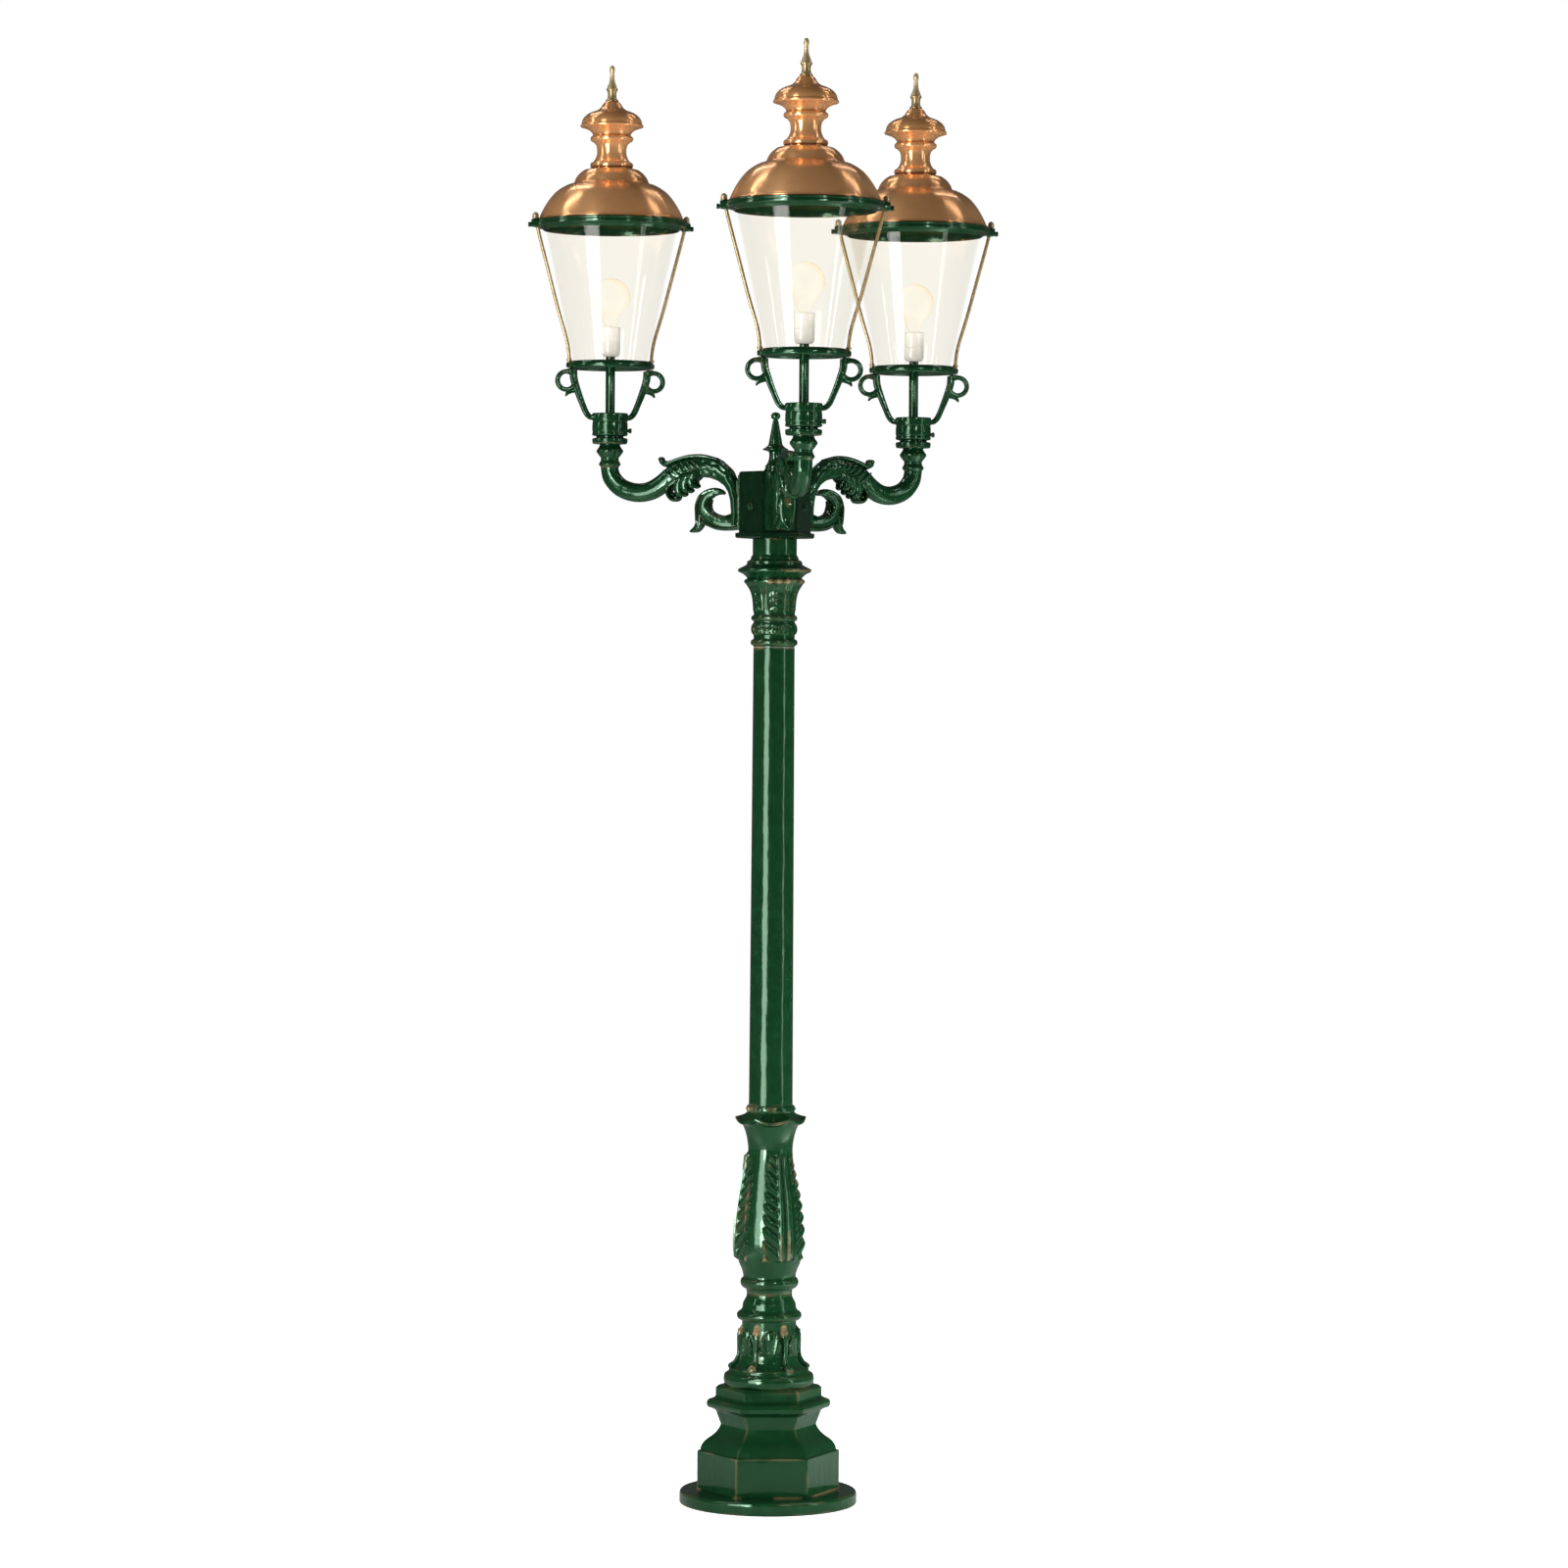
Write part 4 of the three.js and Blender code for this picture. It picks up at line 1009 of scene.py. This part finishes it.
def finial_shape():
    outline = Outline(0, 3404).line(5, 3404).line(5, 3412.3).line(15.5, 3412.3).line(15.5, 3415)
    outline.line(12.5, 3417)
    outline.curve(10, 3422, 10.5, 3430, 5).curve(10.8, 3434, 12.2, 3437, 4).bead(12.2, 3444, 2, 8)
    outline.curve(11, 3450, 8.5, 3455, 5).curve(6, 3462, 5.4, 3470, 5).line(4.8, 3481).line(5.8, 3484)
    outline.curve(7.6, 3489, 5.6, 3495, 6).curve(4, 3500, 0, 3500, 5)
    return revolve(outline, 48, soften=0.6)


def lampholder_shape():
    outline = Outline(8, 2789).line(19, 2789).line(22, 2793).line(24, 2798).line(24, 2822).line(23, 2823)
    outline.line(23, 2825).line(24, 2826).line(24, 2858).line(22.5, 2860).line(14, 2860).line(14, 2828)
    outline.line(8, 2828)
    return revolve(outline, 56, closed=True, soften=0.8)


def bulb_shape():
    """A ridged cap, a neck and a globe."""
    outline = Outline(0, 2830).line(6, 2830).line(9, 2832).line(13.1, 2836)
    ridge_pitch = 3.6
    for ridge in range(6):
        base = 2838 + ridge_pitch * ridge
        outline.line(12.4, base).line(13.2, base + ridge_pitch / 2)
    neck_top = 2899
    outline.line(12.6, 2862).line(14.5, 2864).curve(18, 2868, 19, 2874, 4)
    outline.curve(21, 2888, 33, neck_top, 8)
    start = math.asin((neck_top - BULB_CENTRE) / BULB_RADIUS)
    steps = 20
    for step in range(1, steps + 1):
        angle = start + (math.pi / 2 - start) * step / steps
        outline.line(BULB_RADIUS * math.cos(angle), BULB_CENTRE + BULB_RADIUS * math.sin(angle))
    return revolve(outline, 56, soften=0.3)


ROUND_PIECES = [
    # piece, CAD node, shape, material, slot, body
    ("cable_pipe", "conduit", conduit_shape, ARM_PAINT, "green_paint", "lantern"),
    ("glass_cone", "glass", glass_shape, GLASS, "clear_glass", "lantern"),
    ("copper_hood", "hood", hood_shape, COPPER, "copper", "roof"),
    ("copper_crown", "crown", crown_shape, COPPER, "copper", "roof"),
    ("brass_spike", "finial", finial_shape, BRASS, "brass", "roof"),
    ("holder", "lampholder", lampholder_shape, CERAMIC, "white_ceramic", "lantern"),
    ("globe", "bulb", bulb_shape, BULB, "bulb_glass", "lamp"),
]
LUGGED_PIECES = [
    # piece, CAD node, shape, material, slot, turn from the lantern's own
    ("fork_casting", "fork", fork_shape, ARM_PAINT, "green_paint", 0.0),
    ("gallery_ring", "gallery", gallery_shape, ARM_PAINT, "green_paint", 0.0),
    ("roof_ring", "top_ring", top_ring_shape, ARM_PAINT, "green_paint", 0.0),
    ("tie_bar_a", "tie_rod_a", rod_shape, BRASS, "brass", 0.0),
    ("tie_bar_b", "tie_rod_b", rod_shape, BRASS, "brass", math.pi),
]


def lanterns():
    """Round pieces share one mesh between the lanterns; pieces with lugs are turned to each lantern."""
    round_meshes = {row[0]: mesh_from(row[0], row[2](), row[3]) for row in ROUND_PIECES}
    for side in SIDES:
        place = Matrix.Translation(lantern_axis(side))
        for name, node, _, _, slot, body in ROUND_PIECES:
            piece(f"{name}_{side}", round_meshes[name], f"{body}_{side}", [f"{node}_{side}"], place)
        for name, node, shape, material, slot, turn in LUGGED_PIECES:
            mesh = mesh_from(f"{name}_{side}", spun(shape(), lantern_turn(side) + turn), material)
            piece(f"{name}_{side}", mesh, f"lantern_{side}", [f"{node}_{side}"], place)
        for letter in "ab":
            keep_cad(f"ring_screw_{letter}_{side}", ARM_PAINT, 1.5)
        keep_cad(f"set_screw_{side}", ARM_PAINT, 0.8)


# ---- stage

def floor():
    """A pale disc that looks white to the camera and dims what the metal mirrors of it."""
    radius = 9
    corners = 64
    rim = []
    for angle in np.linspace(0, 2 * math.pi, corners, endpoint=False):
        rim.append((radius * math.cos(angle), radius * math.sin(angle), -0.0005))
    mesh = bpy.data.meshes.new("floor")
    mesh.from_pydata(rim, [], [tuple(range(corners))])
    s = Shader("pale_floor")
    path = s.node("ShaderNodeLightPath")
    colour = s.blend(path.outputs["Is Glossy Ray"], (0.86, 0.86, 0.86, 1), (0.50, 0.51, 0.50, 1))
    diffuse = s.node("ShaderNodeBsdfDiffuse", Color=colour)
    seen = s.math("MULTIPLY", path.outputs["Is Camera Ray"], 0.85)
    bounce = s.math("MULTIPLY", path.outputs["Is Diffuse Ray"], 0.60)
    glow = s.node("ShaderNodeEmission", Color=(1, 1, 1, 1), Strength=s.math("ADD", seen, bounce))
    added = s.tree.nodes.new("ShaderNodeAddShader")
    s.feed(added.inputs[0], diffuse.outputs["BSDF"])
    s.feed(added.inputs[1], glow.outputs["Emission"])
    mesh.materials.append(s.surface(added.outputs["Shader"]))
    made = bpy.data.objects.new("floor", mesh)
    bpy.context.scene.collection.objects.link(made)


def studio_world():
    """White to the camera, nearly black to mirrors, otherwise bright at the sides and dim overhead."""
    s = Shader("studio", world=True)
    path = s.node("ShaderNodeLightPath").outputs
    upward = s.node("ShaderNodeSeparateXYZ", Vector=s.where).outputs["Z"]
    dimmed = s.node(
        "ShaderNodeMapRange", Value=upward, From_Min=0.05, From_Max=0.75, To_Min=0.56, To_Max=0.06)

    def background(colour, strength):
        return s.node("ShaderNodeBackground", Color=(*colour, 1), Strength=strength).outputs["Background"]

    around = background((0.98, 1.0, 0.99), dimmed.outputs["Result"])
    glossy = s.mixed(path["Is Glossy Ray"], around, background((0.95, 1.0, 0.98), 0.07))
    direct = s.mixed(path["Is Camera Ray"], glossy, background((1, 1, 1), 1.0))
    bpy.context.scene.world = s.surface(direct)


SOFTBOXES = [
    # degrees from the camera, height, distance, width, length, watts, mirrored in gloss
    (-39, 1.15, 4.5, 2.0, 2.3, 130, True),
    (-35, 3.5, 4.5, 1.1, 2.4, 80, True),
    (62, 2.2, 4.5, 0.40, 4.4, 28, True),
    (-80, 3.9, 4.2, 0.32, 2.4, 20, True),
    (-100, 6.3, 3.2, 0.32, 1.6, 15, True),
    (-143, 6.4, 3.0, 0.32, 1.6, 15, True),
    (80, 3.9, 4.2, 0.20, 2.4, 11, True),
    (100, 6.3, 3.2, 0.20, 1.6, 9, True),
    (143, 6.4, 3.0, 0.20, 1.6, 9, True),
    (82, 0.6, 2.6, 1.4, 1.0, 150, False),
    (-66, 0.6, 2.6, 1.4, 1.0, 50, False),
    (10, 0.4, 3.2, 1.6, 0.7, 20, False),
]
GLINTS = [
    # the same; these show only as highlights, and only on the painted castings
    (-28, 3.6, 4.2, 0.40, 0.50, 40, True),
    (24, 3.3, 4.2, 0.30, 0.40, 18, True),
    (-27, 0.55, 4.2, 0.55, 1.1, 75, True),
]


def softbox(number, camera_angle, angle, height, distance, width, length, watts, in_gloss):
    light = bpy.data.lights.new(f"softbox_{number}", "AREA")
    light.shape = "RECTANGLE"
    light.size = width
    light.size_y = length
    light.energy = watts
    lamp = bpy.data.objects.new(light.name, light)
    lamp.visible_glossy = in_gloss
    lamp.visible_camera = False
    turn = camera_angle + math.radians(angle)
    lamp.location = Vector((math.sin(turn) * distance, -math.cos(turn) * distance, height))
    aim = Vector((0, 0, min(height * 0.75 + 0.45, 3.2)))
    lamp.rotation_euler = (aim - lamp.location).to_track_quat("-Z", "Y").to_euler()
    bpy.context.scene.collection.objects.link(lamp)
    return lamp


def painted_castings():
    """A collection of all that is painted, except the smooth shaft."""
    enamelled = bpy.data.collections.new("enamelled")
    for made in list(bpy.context.scene.objects):
        if made.type != "MESH" or made.name == "shaft_tube" or not made.data.materials:
            continue
        if made.data.materials[0] in PAINTS:
            enamelled.objects.link(made)
    return enamelled


def lights(camera_angle):
    enamelled = painted_castings()
    for index, row in enumerate(SOFTBOXES + GLINTS):
        lamp = softbox(index + 1, camera_angle, *row)
        if row in GLINTS:
            lamp.visible_diffuse = False
            lamp.light_linking.receiver_collection = enamelled


def photo_camera():
    """Far off, level with the upper shaft and a little to the left of the front arm. Returns its turn."""
    azimuth = math.radians(-8.64)
    distance = 12.29
    data = bpy.data.cameras.new("photo_camera")
    data.sensor_width = 36
    data.lens = 116.4
    camera = bpy.data.objects.new("photo_camera", data)
    pitch = math.radians(-1.532)
    pan = math.radians(-0.124)
    roll = math.radians(0.42)
    camera.location = Vector((math.sin(azimuth) * distance, -math.cos(azimuth) * distance, 2.077))
    look = Matrix.Rotation(azimuth + pan, 4, "Z") @ Matrix.Rotation(math.pi / 2 + pitch, 4, "X")
    look = look @ Matrix.Rotation(roll, 4, "Z")
    camera.rotation_euler = look.to_euler()
    bpy.context.scene.collection.objects.link(camera)
    bpy.context.scene.camera = camera
    return azimuth


# ---- the lamp

base_flange()
pedestal()
keep_cad("service_door", ARM_PAINT, 0.8)
for cad_node in ("door_hinge_pin", "door_screw"):
    keep_cad(cad_node, STEEL, 0.5)
keep_cad("terminal_box", PLASTIC, 2.0)
collar()
baluster()
shaft()
capital()
hub()
hub_finial()
arms()
lanterns()
camera_turn = photo_camera()
floor()
studio_world()
lights(camera_turn)
bpy.context.scene.view_settings.view_transform = "Standard"
bpy.context.scene.cycles.transparent_max_bounces = 40  # two lanterns in line have 12 layers of glass
